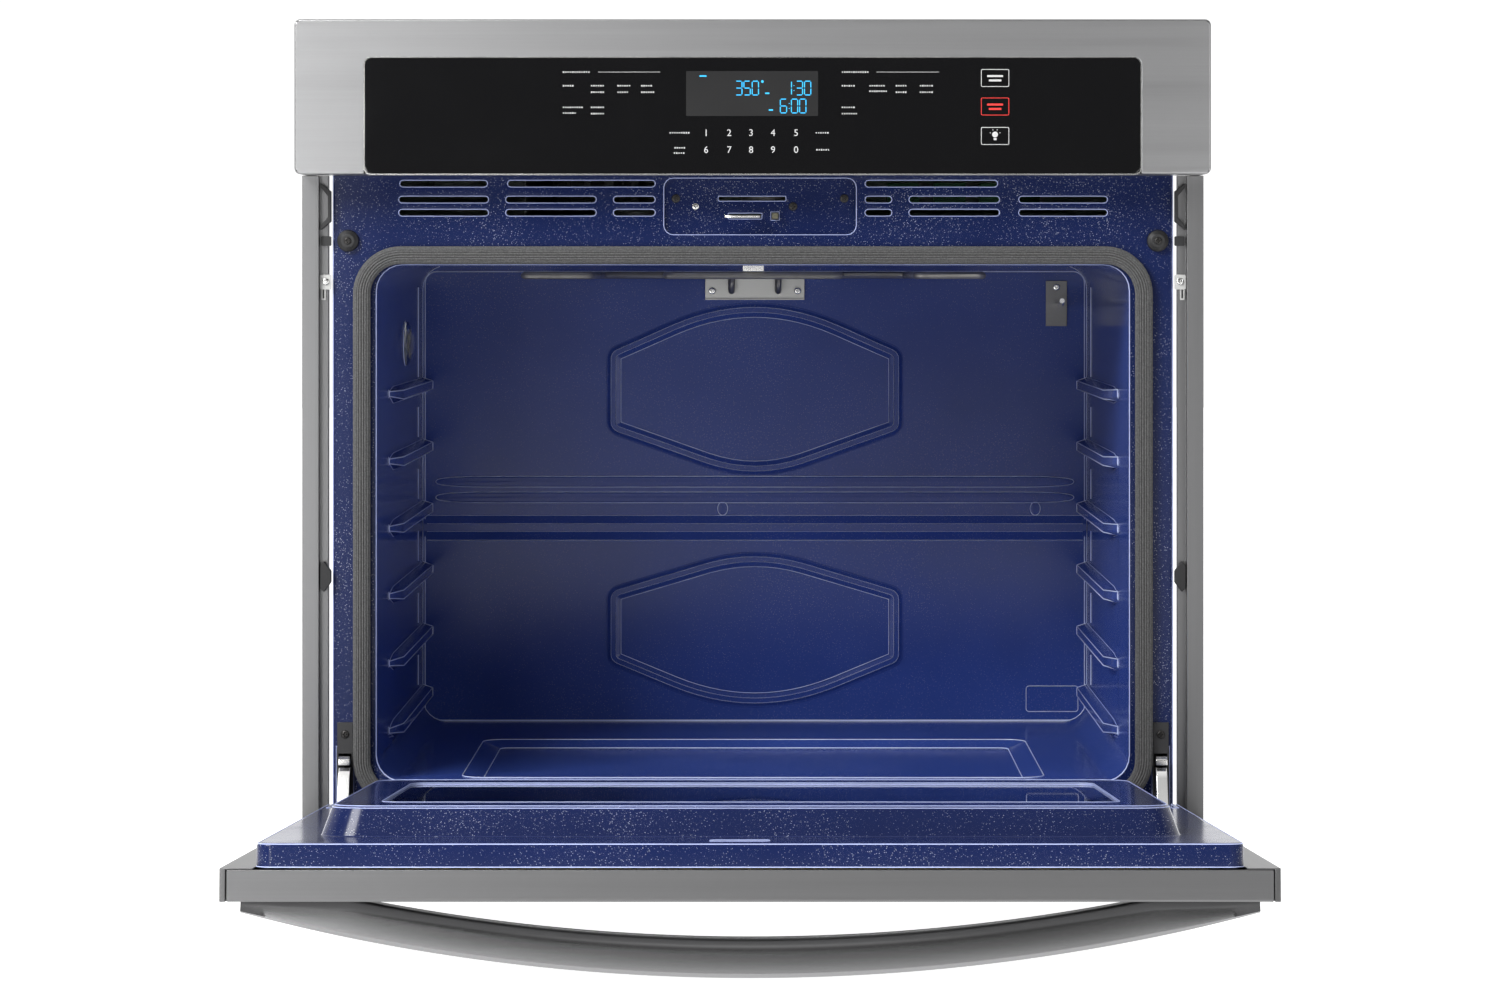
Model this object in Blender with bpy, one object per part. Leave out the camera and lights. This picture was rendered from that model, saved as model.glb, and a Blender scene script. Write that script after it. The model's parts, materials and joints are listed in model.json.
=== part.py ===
"""Built-in electric wall oven, 30 inch class, with its door lowered.

Metres, +X to the right, +Y into the wall, +Z up. The origin is on the underside of the chassis base,
in the middle of the width and in the plane of the cabinet's face. Door pieces are drawn in their
closed place and hang on an empty on the hinge axis, which turns them down to the open stop.
"""

import math

import bmesh
import bpy
from mathutils import Vector

# Driving sizes, as installed
FACE_W = 0.756  # over the control fascia and over the door
HEIGHT = 0.735
FASCIA_H = 0.128
FACE_Y = -0.060  # front plane of the fascia and of the closed door
CASE_BACK_Y = 0.568
GAP = 0.0003  # between pieces that touch

# Front frame and its edge returns
FRAME_HALF_W = 0.3515
FRAME_Z = (0.045, 0.645)
FRAME_Y = -0.007
FRAME_WALL = 0.0015
FRAME_RETURN_Y = 0.008
FRAME_CORNER = 0.006

# Oven cavity, clear inside
CAVITY_HALF_W = 0.315
CAVITY_Z = (0.1003, 0.5325)
CAVITY_BACK_Y = 0.5108
CAVITY_WALL = 0.0012
CAVITY_CORNER = 0.022

# Gasket, round the cavity's mouth
GASKET_HALF_W = (0.3189, 0.334)  # inner and outer
GASKET_Z = (0.079, 0.548)  # outer
GASKET_CORNER = 0.040
GASKET_FRONT_Y = -0.0178

# Case sheets
CASE_HALF_W = 0.3495
CASE_TOP_Z = 0.722
SHEET = 0.0015

# Side trims
TRIM_HALF_W = (0.3546, 0.3618, 0.3757)  # strip edge, step, outer edge
TRIM_FACE_Y = -0.019
TRIM_STRIP_Y = -0.010
TRIM_FOOT_Z = 0.0015

# Door, in its closed place
DOOR_Z = (0.047, 0.604)
SKIN_REAR_Y = -0.0372
DOOR_RAIL_W = 0.0042
LINER_HALF_W = 0.3528
LINER_Z = (0.057, 0.6035)
FLANGE_Y = -0.0184
PLUG_BASE = (0.3156, 0.101, 0.529)  # half width, lower and upper edge
PLUG_TOP = (0.3074, 0.109, 0.521)
PLUG_TOP_Y = 0.0036
INNER_WINDOW = (0.275, 0.165, 0.465)
OUTER_WINDOW = (0.262, 0.215, 0.475)
GLASS_T = 0.004
HINGE_Y = -0.0386
HINGE_Z = 0.065
OPEN_DEG = 86.35

# Handle
HANDLE_HALF_W = 0.367
HANDLE_Z = (0.539, 0.569)
HANDLE_REACH = 0.0568
HANDLE_END_REACH = 0.010
HANDLE_BAR_T = 0.028

# Hinge arms and receivers, distances from the middle
ARM_X = (0.3360, 0.3455)
SLOT_X = (0.3345, 0.3476)
RECEIVER_Z = (0.0745, 0.150)

# Latch and door switch, in the recess of the front frame
RECESS_X = (-0.0745, 0.0865)
RECESS_Z = (0.5575, 0.6050)
RECESS_DEPTH = 0.004
HOOK_SLOT = (-0.0208, 0.0076, 0.5707, 0.5757)
WIDE_SLOT = (-0.0291, 0.0277, 0.5857, 0.5899)
PLUNGER_X = 0.0185
PLUNGER_Z = 0.5732

RACK_RIB_Z = [0.421 - 0.0582 * i for i in range(6)]
VENT_ROWS = (
    (0.5760, (-0.2962, -0.2210), (-0.2068, -0.1309), (-0.1167, -0.0816)),
    (0.5760, (0.0937, 0.1162), (0.1304, 0.2063), (0.2222, 0.2965)),
    (0.5870, (-0.2962, -0.2210), (-0.2068, -0.1309), (-0.1167, -0.0816)),
    (0.5870, (0.0937, 0.1162), (0.1304, 0.2063), (0.2222, 0.2965)),
    (0.6003, (-0.2953, -0.2219), (-0.2052, -0.0816), (0.0937, 0.2047)),
)
VENT_H = 0.0058

# Rack ribs and lamp of the side walls
RIB_REACH = 0.0095
RIB_HALF_H = 0.0055
RIB_FRONT_Y = 0.120
LAMP_Y = 0.300
LAMP_Z = 0.462
LAMP_R = 0.020

# Broil element under the roof, bake element under the floor
BROIL_HALF_W = 0.1972  # to the tube's middle
BROIL_Y = (0.100, 0.440)
BROIL_Z = 0.5235
BROIL_TUBE_R = 0.0032
BROIL_BRACKET_Z = (0.500, 0.5205)
BAKE_HALF_W = 0.230
BAKE_Y = (0.060, 0.450)
BAKE_Z = 0.0890
BAKE_TUBE_R = 0.0035
SENSOR_X = 0.286
SENSOR_HALF_W = 0.010

# Control glass and its display window
GLASS_HALF_W = 0.3205
GLASS_TOP_Z = 0.7037
DISPLAY_X = (-0.0549, 0.0539)
DISPLAY_Z = (0.6551, 0.6921)

# Cooling blower and flue
BLOWER_X = -0.120
BLOWER_Y = 0.300
BLOWER_Z = (0.575, 0.635)
VOLUTE_R = 0.080
WHEEL_R = 0.062
WHEEL_Z = (0.582, 0.626)
FLUE_X = (-0.030, 0.030)
FLUE_Y = (0.380, 0.410)
FLUE_TOP_Z = 0.640

# Cable gland in the case back
GLAND_X = -0.260
GLAND_Z = 0.640
GLAND_R = 0.016
GLAND_FLANGE = 0.005

# Bumpers beside the gasket, trim clips, hinge locks and door channels
BUMPER_X = 0.3383
BUMPER_Z = 0.5525
CLIP_Z = (0.5615, 0.6005)
PLUG_Z = (0.2595, 0.2850)
TRIM_BOTTOM_Z = 0.034
LOCK_PIVOT = (-0.0180, 0.1165)
CHANNEL_X = (0.3325, 0.3492)
CHANNEL_Y = (-0.0560, -0.0215)
CHANNEL_Z = (0.0627, 0.300)

SIDES = (("left", -1.0), ("right", 1.0))


# Finishes
def finish(name, colour, roughness, metallic=0.0, alpha=1.0):
    """A plain Principled material."""
    material = bpy.data.materials.new(name)
    material.use_nodes = True
    shader = material.node_tree.nodes["Principled BSDF"]
    shader.inputs["Base Color"].default_value = (*colour, 1.0)
    shader.inputs["Roughness"].default_value = roughness
    shader.inputs["Metallic"].default_value = metallic
    shader.inputs["Alpha"].default_value = alpha
    return material


# Outlines, as lists of (u, v)
def rounded(u, v, radius, steps=4):
    """A rectangle from u[0] to u[1] and v[0] to v[1] with round corners, anticlockwise."""
    points = []
    corners = ((u[1], v[1], 0), (u[0], v[1], 1), (u[0], v[0], 2), (u[1], v[0], 3))
    for cu, cv, quarter in corners:
        su = 1 if quarter in (0, 3) else -1
        sv = 1 if quarter in (0, 1) else -1
        for i in range(steps + 1):
            angle = math.radians(90 * quarter + 90 * i / steps)
            points.append(
                (
                    cu - su * radius + radius * math.cos(angle),
                    cv - sv * radius + radius * math.sin(angle),
                )
            )
    return points


def circle(u, v, radius, sides=24):
    turn = 2 * math.pi / sides
    return [(u + radius * math.cos(turn * i), v + radius * math.sin(turn * i)) for i in range(sides)]


def lift(outline, axis, w):
    """Puts an outline at w on an axis: X takes (y, z), Y takes (x, z), Z takes (x, y)."""
    if axis == "X":
        return [Vector((w, u, v)) for u, v in outline]
    if axis == "Y":
        return [Vector((u, w, v)) for u, v in outline]
    return [Vector((u, v, w)) for u, v in outline]


# Bodies, each added to a bmesh as one closed shell
def bridge(bm, first, second):
    for i in range(len(first)):
        j = (i + 1) % len(first)
        bm.faces.new((first[i], first[j], second[j], second[i]))


def add_loft(bm, loops):
    """A body through the loops, closed with a face at each end."""
    rings = [[bm.verts.new(p) for p in loop] for loop in loops]
    for first, second in zip(rings, rings[1:]):
        bridge(bm, first, second)
    bm.faces.new(rings[0][::-1])
    bm.faces.new(rings[-1])


def add_ring(bm, loops):
    """A body with a hole through it: the last loop joins the first."""
    rings = [[bm.verts.new(p) for p in loop] for loop in loops]
    for first, second in zip(rings, rings[1:] + rings[:1]):
        bridge(bm, first, second)


def add_prism(bm, outline, axis, span):
    add_loft(bm, [lift(outline, axis, span[0]), lift(outline, axis, span[1])])


def add_box(bm, x, y, z):
    outline = [(x[0], z[0]), (x[1], z[0]), (x[1], z[1]), (x[0], z[1])]
    add_prism(bm, outline, "Y", y)


def add_tube(bm, path, radius, sides=8):
    """A round bar along the path, with each ring square to the mean of its neighbours."""
    loops = []
    across = None
    for i, point in enumerate(path):
        ahead = path[min(i + 1, len(path) - 1)]
        behind = path[max(i - 1, 0)]
        along = (ahead - behind).normalized()
        if across is None:
            across = along.orthogonal().normalized()
        across = (across - along * across.dot(along)).normalized()
        other = along.cross(across)
        loops.append(
            [
                point + radius * (math.cos(t) * across + math.sin(t) * other)
                for t in (2 * math.pi * k / sides for k in range(sides))
            ]
        )
    add_loft(bm, loops)


def round_corners(points, radius, steps=4):
    """A path whose inner corners are arcs of about the radius."""
    path = [points[0]]
    for before, corner, after in zip(points, points[1:], points[2:]):
        start = corner + (before - corner).normalized() * radius
        end = corner + (after - corner).normalized() * radius
        for i in range(steps + 1):
            t = i / steps
            path.append(start * (1 - t) ** 2 + corner * 2 * t * (1 - t) + end * t**2)
    path.append(points[-1])
    return path


def add_turned(bm, profile, centre, axis, sides=24):
    """A body of circles: profile is a list of (radius, distance along the axis), with flat ends."""
    loops = []
    for radius, w in profile:
        outline = circle(centre[0], centre[1], radius, sides)
        loops.append(lift(outline, axis, w))
    add_loft(bm, loops)


# Objects
def empty_mesh():
    return bmesh.new()


def publish(name, bm, material, parent=None, origin=(0.0, 0.0, 0.0)):
    """Makes the object from a mesh drawn in the oven's frame, or in the closed door's under a parent."""
    bmesh.ops.recalc_face_normals(bm, faces=bm.faces)
    origin = Vector(origin)
    bmesh.ops.translate(bm, verts=bm.verts, vec=-origin)
    mesh = bpy.data.meshes.new(name)
    bm.to_mesh(mesh)
    bm.free()
    mesh.materials.append(material)
    mesh.shade_smooth()
    mesh.set_sharp_from_angle(angle=math.radians(35))
    obj = bpy.data.objects.new(name, mesh)
    bpy.context.scene.collection.objects.link(obj)
    obj.location = origin
    if parent is not None:
        obj.parent = parent
        obj.location = origin - parent.location
    return obj


def shape_with(obj, bm, operation, label):
    """Cuts a helper, drawn in the object's frame, from the object, or joins it on."""
    helper = publish(f"{obj.name}_{label}", bm, obj.data.materials[0], obj.parent)
    helper.hide_render = True
    helper.display_type = "WIRE"
    modifier = obj.modifiers.new(label, "BOOLEAN")
    modifier.operation = operation
    modifier.solver = "EXACT"
    modifier.object = helper


def cut(obj, bm, label="cutter"):
    shape_with(obj, bm, "DIFFERENCE", label)


def join(obj, bm, label="added"):
    shape_with(obj, bm, "UNION", label)


def mirrored(x, sign):
    """An X span on the left or the right, lowest first."""
    return (x[0], x[1]) if sign > 0 else (-x[1], -x[0])


# Chassis and case
def build_case(steel):
    base_half_w = CASE_HALF_W - SHEET - 0.0005
    base_y = (-0.004, CASE_BACK_Y - SHEET - 0.0005)
    base_h = 0.032
    bm = empty_mesh()
    add_box(bm, (-base_half_w, base_half_w), base_y, (0.0, base_h))
    base = publish("chassis_base", bm, steel)
    bm = empty_mesh()
    inside = base_half_w - SHEET
    add_box(bm, (-inside, inside), (base_y[0] + SHEET, base_y[1] - SHEET), (0.002, base_h + 0.01))
    cut(base, bm)

    side_y = (-0.0015, CASE_BACK_Y - SHEET - GAP)
    side_z = (0.0005, CASE_TOP_Z - SHEET - GAP)
    behind_frame = (FRAME_RETURN_Y + GAP, side_y[1])
    for side, sign in SIDES:
        bm = empty_mesh()
        add_box(bm, mirrored((CASE_HALF_W - SHEET, CASE_HALF_W), sign), behind_frame, side_z)
        publish(f"case_{side}", bm, steel)
    bm = empty_mesh()
    add_box(bm, (-CASE_HALF_W, CASE_HALF_W), side_y, (CASE_TOP_Z - SHEET, CASE_TOP_Z))
    publish("case_top", bm, steel)

    bm = empty_mesh()
    back_z = (side_z[0], CASE_TOP_Z)
    add_box(bm, (-CASE_HALF_W, CASE_HALF_W), (CASE_BACK_Y - SHEET, CASE_BACK_Y), back_z)
    back = publish("case_back", bm, steel)
    bm = empty_mesh()
    add_prism(bm, circle(GLAND_X, GLAND_Z, GLAND_R + GAP), "Y", (CASE_BACK_Y - 0.01, CASE_BACK_Y + 0.01))
    cut(back, bm, "gland_hole")


# Supply
def build_supply(steel, plastic):
    bm = empty_mesh()
    add_box(bm, (-0.310, -0.210), (0.500, 0.560), (0.600, 0.690))
    box = publish("terminal_box", bm, steel)
    bm = empty_mesh()
    add_box(bm, (-0.308, -0.212), (0.490, 0.558), (0.602, 0.688))
    cut(box, bm)
    bm = empty_mesh()
    add_prism(bm, circle(GLAND_X, GLAND_Z, 0.011), "Y", (0.550, 0.570))
    cut(box, bm, "cable_hole")
    bm = empty_mesh()
    rear = CASE_BACK_Y
    add_ring(
        bm,
        [
            lift(circle(GLAND_X, GLAND_Z, GLAND_R), "Y", 0.5605),
            lift(circle(GLAND_X, GLAND_Z, GLAND_R), "Y", rear + GAP),
            lift(circle(GLAND_X, GLAND_Z, GLAND_R + GLAND_FLANGE), "Y", rear + GAP),
            lift(circle(GLAND_X, GLAND_Z, GLAND_R + GLAND_FLANGE), "Y", rear + 0.006),
            lift(circle(GLAND_X, GLAND_Z, GLAND_R - 0.002), "Y", rear + 0.013),
            lift(circle(GLAND_X, GLAND_Z, GLAND_R - 0.007), "Y", rear + 0.013),
            lift(circle(GLAND_X, GLAND_Z, GLAND_R - 0.007), "Y", 0.5605),
        ],
    )
    publish("cable_gland", bm, plastic)


# Front frame
def build_front_frame(enamel):
    half, low, high = FRAME_HALF_W, FRAME_Z[0], FRAME_Z[1]
    edge = 0.0025
    wall = FRAME_WALL

    def outline(inset, corner, y):
        return lift(rounded((-half + inset, half - inset), (low + inset, high - inset), corner, 6), "Y", y)

    mouth = rounded((-CAVITY_HALF_W, CAVITY_HALF_W), CAVITY_Z, CAVITY_CORNER, 6)
    inner = rounded(
        (-CAVITY_HALF_W - 0.0002, CAVITY_HALF_W + 0.0002),
        (CAVITY_Z[0] - 0.0002, CAVITY_Z[1] + 0.0002),
        CAVITY_CORNER,
        6,
    )
    bm = empty_mesh()
    add_ring(
        bm,
        [
            outline(0, FRAME_CORNER, FRAME_RETURN_Y),
            outline(0, FRAME_CORNER, FRAME_Y + edge),
            outline(0.0007, FRAME_CORNER, FRAME_Y + 0.0007),
            outline(edge, FRAME_CORNER - 0.002, FRAME_Y),
            lift(mouth, "Y", FRAME_Y),
            lift(inner, "Y", FRAME_Y + wall),
            outline(edge + wall, 0.002, FRAME_Y + wall),
            outline(wall, FRAME_CORNER - wall, FRAME_Y + wall + edge),
            outline(wall, FRAME_CORNER - wall, FRAME_RETURN_Y),
        ],
    )
    frame = publish("front_frame", bm, enamel)

    bm = empty_mesh()
    tray_y = (FRAME_Y + 0.0006, FRAME_Y + RECESS_DEPTH + wall)
    tray_x = (RECESS_X[0] - wall, RECESS_X[1] + wall)
    tray_z = (RECESS_Z[0] - wall, RECESS_Z[1] + wall)
    add_prism(bm, rounded(tray_x, tray_z, 0.009, 4), "Y", tray_y)
    join(frame, bm, "tray")
    bm = empty_mesh()
    floor_y = FRAME_Y + RECESS_DEPTH
    add_prism(bm, rounded(RECESS_X, RECESS_Z, 0.008, 4), "Y", (FRAME_Y - 0.01, floor_y))
    cut(frame, bm, "recess")

    bm = empty_mesh()
    through = (FRAME_Y - 0.02, FRAME_Y + 0.02)
    for row in VENT_ROWS:
        z = row[0]
        for span in row[1:]:
            slot = rounded(span, (z - VENT_H / 2, z + VENT_H / 2), VENT_H / 2 - 0.0001, 3)
            add_prism(bm, slot, "Y", through)
    for x0, x1, z0, z1 in (HOOK_SLOT, WIDE_SLOT):
        add_prism(bm, rounded((x0, x1), (z0, z1), 0.001, 2), "Y", through)
    square = 0.0035
    square_x = (PLUNGER_X - square, PLUNGER_X + square)
    add_box(bm, square_x, through, (PLUNGER_Z - square, PLUNGER_Z + square))
    for _, sign in SIDES:
        x = mirrored((SLOT_X[0] - 0.0008, SLOT_X[1] + 0.0008), sign)
        add_box(bm, x, through, (RECEIVER_Z[0] - 0.001, 0.130))
    cut(frame, bm, "slots")


# Cavity
def build_cavity(enamel):
    wall = CAVITY_WALL

    def loop(grow, y):
        x = (-CAVITY_HALF_W - grow, CAVITY_HALF_W + grow)
        z = (CAVITY_Z[0] - grow, CAVITY_Z[1] + grow)
        return lift(rounded(x, z, CAVITY_CORNER + grow, 6), "Y", y)

    front = FRAME_Y + FRAME_WALL + GAP
    rear = CAVITY_BACK_Y - GAP
    bm = empty_mesh()
    add_ring(bm, [loop(0, front), loop(0, rear), loop(wall, rear), loop(wall, front)])
    wrap = publish("cavity_wrap", bm, enamel)
    bm = empty_mesh()
    wall_x = CAVITY_HALF_W + 0.0005
    tip_x = CAVITY_HALF_W - RIB_REACH
    nose_x = wall_x - 0.001
    half_h = RIB_HALF_H
    for _, sign in SIDES:
        for z in RACK_RIB_Z:
            foot = [
                (wall_x, z - half_h * 1.7),
                (tip_x, z - half_h),
                (tip_x, z + half_h * 0.4),
                (wall_x, z + half_h),
            ]
            nose = [
                (wall_x, z - half_h),
                (nose_x, z - 0.002),
                (nose_x, z + 0.002),
                (wall_x, z + half_h),
            ]
            loops = [
                [Vector((sign * x, RIB_FRONT_Y, v)) for x, v in nose],
                [Vector((sign * x, RIB_FRONT_Y + 0.045, v)) for x, v in foot],
                [Vector((sign * x, rear - 0.001, v)) for x, v in foot],
            ]
            add_loft(bm, loops)
    join(wrap, bm, "rack_ribs")
    bm = empty_mesh()
    hole = circle(LAMP_Y, LAMP_Z, LAMP_R, 24)
    add_prism(bm, hole, "X", (-CAVITY_HALF_W - 0.01, -CAVITY_HALF_W + 0.01))
    add_box(bm, FLUE_X, FLUE_Y, (CAVITY_Z[1] - 0.01, CAVITY_Z[1] + 0.01))
    cut(wrap, bm, "openings")

    bm = empty_mesh()
    plate = loop(wall, CAVITY_BACK_Y)
    add_loft(bm, [plate, [p + Vector((0, SHEET, 0)) for p in plate]])
    panel = publish("cavity_back_panel", bm, enamel)
    bm = empty_mesh()
    for low, high in ((0.117, 0.269), (0.338, 0.492)):
        middle = (low + high) / 2
        half_h = (high - low) / 2
        outline = []
        for end in (1, -1):
            for i in range(7):
                angle = math.radians(25 + 130 * i / 6)
                outline.append((end * 0.105 * math.cos(angle), middle + end * half_h * math.sin(angle)))
            outline.append((-end * 0.139, middle + end * 0.030))
            outline.append((-end * 0.139, middle - end * 0.030))
        add_prism(bm, outline, "Y", (CAVITY_BACK_Y - 0.004, CAVITY_BACK_Y + 0.0007))
    for z in (0.284, 0.320):
        rail = rounded((-0.300, 0.300), (z - 0.010, z + 0.010), 0.0095, 3)
        add_prism(bm, rail, "Y", (CAVITY_BACK_Y - 0.004, CAVITY_BACK_Y + 0.0007))
    join(panel, bm, "presses")


def build_insulation(wool):
    outer_x = CASE_HALF_W - SHEET - 0.002
    x = (-outer_x, outer_x)
    z = (0.040, 0.558)
    inner_x = CAVITY_HALF_W + 0.0022
    inner_z = (0.080, CAVITY_Z[1] + 0.0022)
    front, rear = 0.009, CASE_BACK_Y - 0.004
    inner_rear = CAVITY_BACK_Y + SHEET + 0.0015
    corner = CAVITY_CORNER
    bm = empty_mesh()
    add_loft(
        bm,
        [
            lift(rounded(x, z, 0.004, 4), "Y", rear),
            lift(rounded(x, z, 0.004, 4), "Y", front),
            lift(rounded((-inner_x, inner_x), inner_z, corner * 0.5, 4), "Y", front),
            lift(rounded((-inner_x, inner_x), inner_z, corner * 0.5, 4), "Y", inner_rear),
        ],
    )
    blanket = publish("cavity_insulation", bm, wool)
    bm = empty_mesh()
    for _, sign in SIDES:
        add_box(bm, mirrored((0.325, 0.360), sign), (0.0, 0.055), (0.030, 0.165))
    add_prism(bm, circle(LAMP_Y, LAMP_Z, LAMP_R + 0.004, 20), "X", (-0.36, -0.31))
    flue_x = (FLUE_X[0] - 0.004, FLUE_X[1] + 0.004)
    flue_y = (FLUE_Y[0] - 0.004, FLUE_Y[1] + 0.004)
    add_box(bm, flue_x, flue_y, (CAVITY_Z[1] - 0.005, 0.57))
    cut(blanket, bm)


def build_gasket(braid):
    """A flattened round section along a rounded rectangle."""
    width = GASKET_HALF_W[1] - GASKET_HALF_W[0]
    rear = FRAME_Y - GAP
    depth = rear - GASKET_FRONT_Y
    loops = []
    sides = 8
    for k in range(sides):
        angle = 2 * math.pi * (k + 0.5) / sides
        swell = 1 / math.cos(math.pi / sides)
        inset = width / 2 - width / 2 * swell * math.cos(angle)
        inset = min(max(inset, 0.0), width)
        y = rear - depth / 2 + depth / 2 * min(max(swell * math.sin(angle), -1.0), 1.0)
        x = (-GASKET_HALF_W[1] + inset, GASKET_HALF_W[1] - inset)
        z = (GASKET_Z[0] + inset, GASKET_Z[1] - inset)
        loops.append(lift(rounded(x, z, GASKET_CORNER - inset, 6), "Y", y))
    bm = empty_mesh()
    add_ring(bm, loops)
    publish("door_gasket", bm, braid)


# Heating, sensing and light
def build_elements(sheath, steel, bright):
    z = BROIL_Z
    front_y, turn_y = BROIL_Y
    back_y = 0.4935
    bracket_z = BROIL_BRACKET_Z
    bracket_half_w = 0.047
    rod_x = 0.022
    rod_z = 0.5085
    half = [
        Vector((rod_x, 0.5050, rod_z)),
        Vector((rod_x, back_y, rod_z)),
        Vector((rod_x, back_y, z)),
        Vector((rod_x, turn_y, z)),
        Vector((BROIL_HALF_W, turn_y, z)),
        Vector((BROIL_HALF_W, front_y, z)),
        Vector((0.140, front_y, z)),
        Vector((0.140, turn_y - 0.070, z)),
        Vector((0.075, turn_y - 0.070, z)),
        Vector((0.075, front_y, z)),
    ]
    other = [Vector((-p.x, p.y, p.z)) for p in reversed(half)]
    path = round_corners(half + other, 0.007, 3)
    bm = empty_mesh()
    add_tube(bm, path, BROIL_TUBE_R, 8)
    publish("broil_element", bm, sheath)

    bm = empty_mesh()
    add_box(bm, (-bracket_half_w, bracket_half_w), (0.5062, 0.5082), bracket_z)
    bracket = publish("broil_bracket", bm, steel)
    bm = empty_mesh()
    feet_z = (bracket_z[0] + 0.001, bracket_z[1] - 0.001)
    for _, sign in SIDES:
        add_box(bm, mirrored((0.034, 0.0465), sign), (0.5078, 0.5104), feet_z)
    join(bracket, bm, "feet")
    bm = empty_mesh()
    lip_z = (bracket_z[0], bracket_z[0] + 0.0015)
    add_box(bm, (-bracket_half_w, bracket_half_w), (0.5025, 0.5066), lip_z)
    join(bracket, bm, "lip")

    bm = empty_mesh()
    hanger_z = (z + BROIL_TUBE_R + GAP, CAVITY_Z[1] - GAP)
    add_box(bm, (-0.009, 0.009), (front_y - 0.006, front_y + 0.006), hanger_z)
    publish("element_hanger", bm, bright)

    front_y, turn_y = BAKE_Y
    runs = [
        (0.020, turn_y + 0.050),
        (0.020, turn_y),
        (BAKE_HALF_W, turn_y),
        (BAKE_HALF_W, front_y),
        (0.120, front_y),
        (0.120, turn_y - 0.070),
        (0.040, turn_y - 0.070),
        (0.040, front_y),
    ]
    runs += [(-x, y) for x, y in reversed(runs)]
    bm = empty_mesh()
    route = round_corners([Vector((x, y, BAKE_Z)) for x, y in runs], 0.018, 3)
    add_tube(bm, route, BAKE_TUBE_R, 6)
    publish("bake_element", bm, sheath)

    bm = empty_mesh()
    sensor_x = (SENSOR_X - SENSOR_HALF_W, SENSOR_X + SENSOR_HALF_W)
    add_box(bm, sensor_x, (0.5085, 0.5105), (0.475, 0.518))
    publish("sensor_bracket", bm, steel)
    bm = empty_mesh()
    route = [
        Vector((SENSOR_X, 0.5080, 0.495)),
        Vector((SENSOR_X, 0.440, 0.495)),
        Vector((SENSOR_X - 0.004, 0.360, 0.500)),
    ]
    add_tube(bm, round_corners(route, 0.02, 3), 0.0024, 8)
    publish("temperature_probe", bm, bright)


def build_lamp(ceramic, glass):
    wall_x = -CAVITY_HALF_W
    outside_x = wall_x - CAVITY_WALL
    bm = empty_mesh()
    profile = [
        (LAMP_R - 0.006, outside_x - 0.0275),
        (LAMP_R + 0.0030, outside_x - 0.010),
        (LAMP_R + 0.0030, outside_x - GAP),
    ]
    add_turned(bm, profile, (LAMP_Y, LAMP_Z), "X", 20)
    socket = publish("lamp_socket", bm, ceramic)
    bm = empty_mesh()
    add_prism(bm, circle(LAMP_Y, LAMP_Z, LAMP_R - 0.004, 20), "X", (wall_x - 0.022, wall_x + 0.01))
    cut(socket, bm)
    bm = empty_mesh()
    lens = [
        (LAMP_R - GAP, outside_x + 0.0002),
        (LAMP_R - GAP, wall_x + 0.0025),
        (LAMP_R - 0.006, wall_x + 0.0065),
        (LAMP_R - 0.014, wall_x + 0.0078),
    ]
    add_turned(bm, lens, (LAMP_Y, LAMP_Z), "X", 24)
    publish("lamp_lens", bm, glass)


# Latch and door switch
def build_latch(steel, bright, plastic):
    hook_z = (0.5717, 0.5737)
    outline = [
        (-0.0040, 0.0270),
        (-0.0040, -0.0205),
        (-0.0235, -0.0205),
        (-0.0235, -0.0228),
        (-0.0175, -0.0246),
        (0.0060, -0.0246),
        (0.0060, 0.0270),
    ]
    bm = empty_mesh()
    add_prism(bm, outline, "Z", hook_z)
    publish("latch_hook", bm, bright)

    bm = empty_mesh()
    add_box(bm, (-0.055, 0.060), (0.0010, 0.0022), (0.578, 0.5845))
    bracket = publish("latch_bracket", bm, steel)
    bm = empty_mesh()
    add_box(bm, (-0.055, 0.060), (0.0012, 0.060), (0.5830, 0.5845))
    join(bracket, bm, "shelf")
    bm = empty_mesh()
    can = [(0.022, 0.5851), (0.022, 0.604), (0.010, 0.6042), (0.010, 0.610)]
    add_turned(bm, can, (0.012, 0.034), "Z", 20)
    publish("latch_motor", bm, plastic)

    def about_plunger(half):
        return (PLUNGER_X - half, PLUNGER_X + half), (PLUNGER_Z - half, PLUNGER_Z + half)

    body_x, _ = about_plunger(0.0062)
    bm = empty_mesh()
    add_box(bm, body_x, (0.0005, 0.022), (PLUNGER_Z - 0.009, PLUNGER_Z + 0.0036))
    body = publish("door_switch_body", bm, plastic)
    bore_x, bore_z = about_plunger(0.0027)
    bm = empty_mesh()
    add_box(bm, bore_x, (-0.01, 0.0160), bore_z)
    cut(body, bm)
    plunger_x, plunger_z = about_plunger(0.0023)
    bm = empty_mesh()
    add_box(bm, plunger_x, (-0.0150, 0.0095), plunger_z)
    publish("door_switch_plunger", bm, plastic, origin=(PLUNGER_X, -0.0150, PLUNGER_Z))


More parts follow.
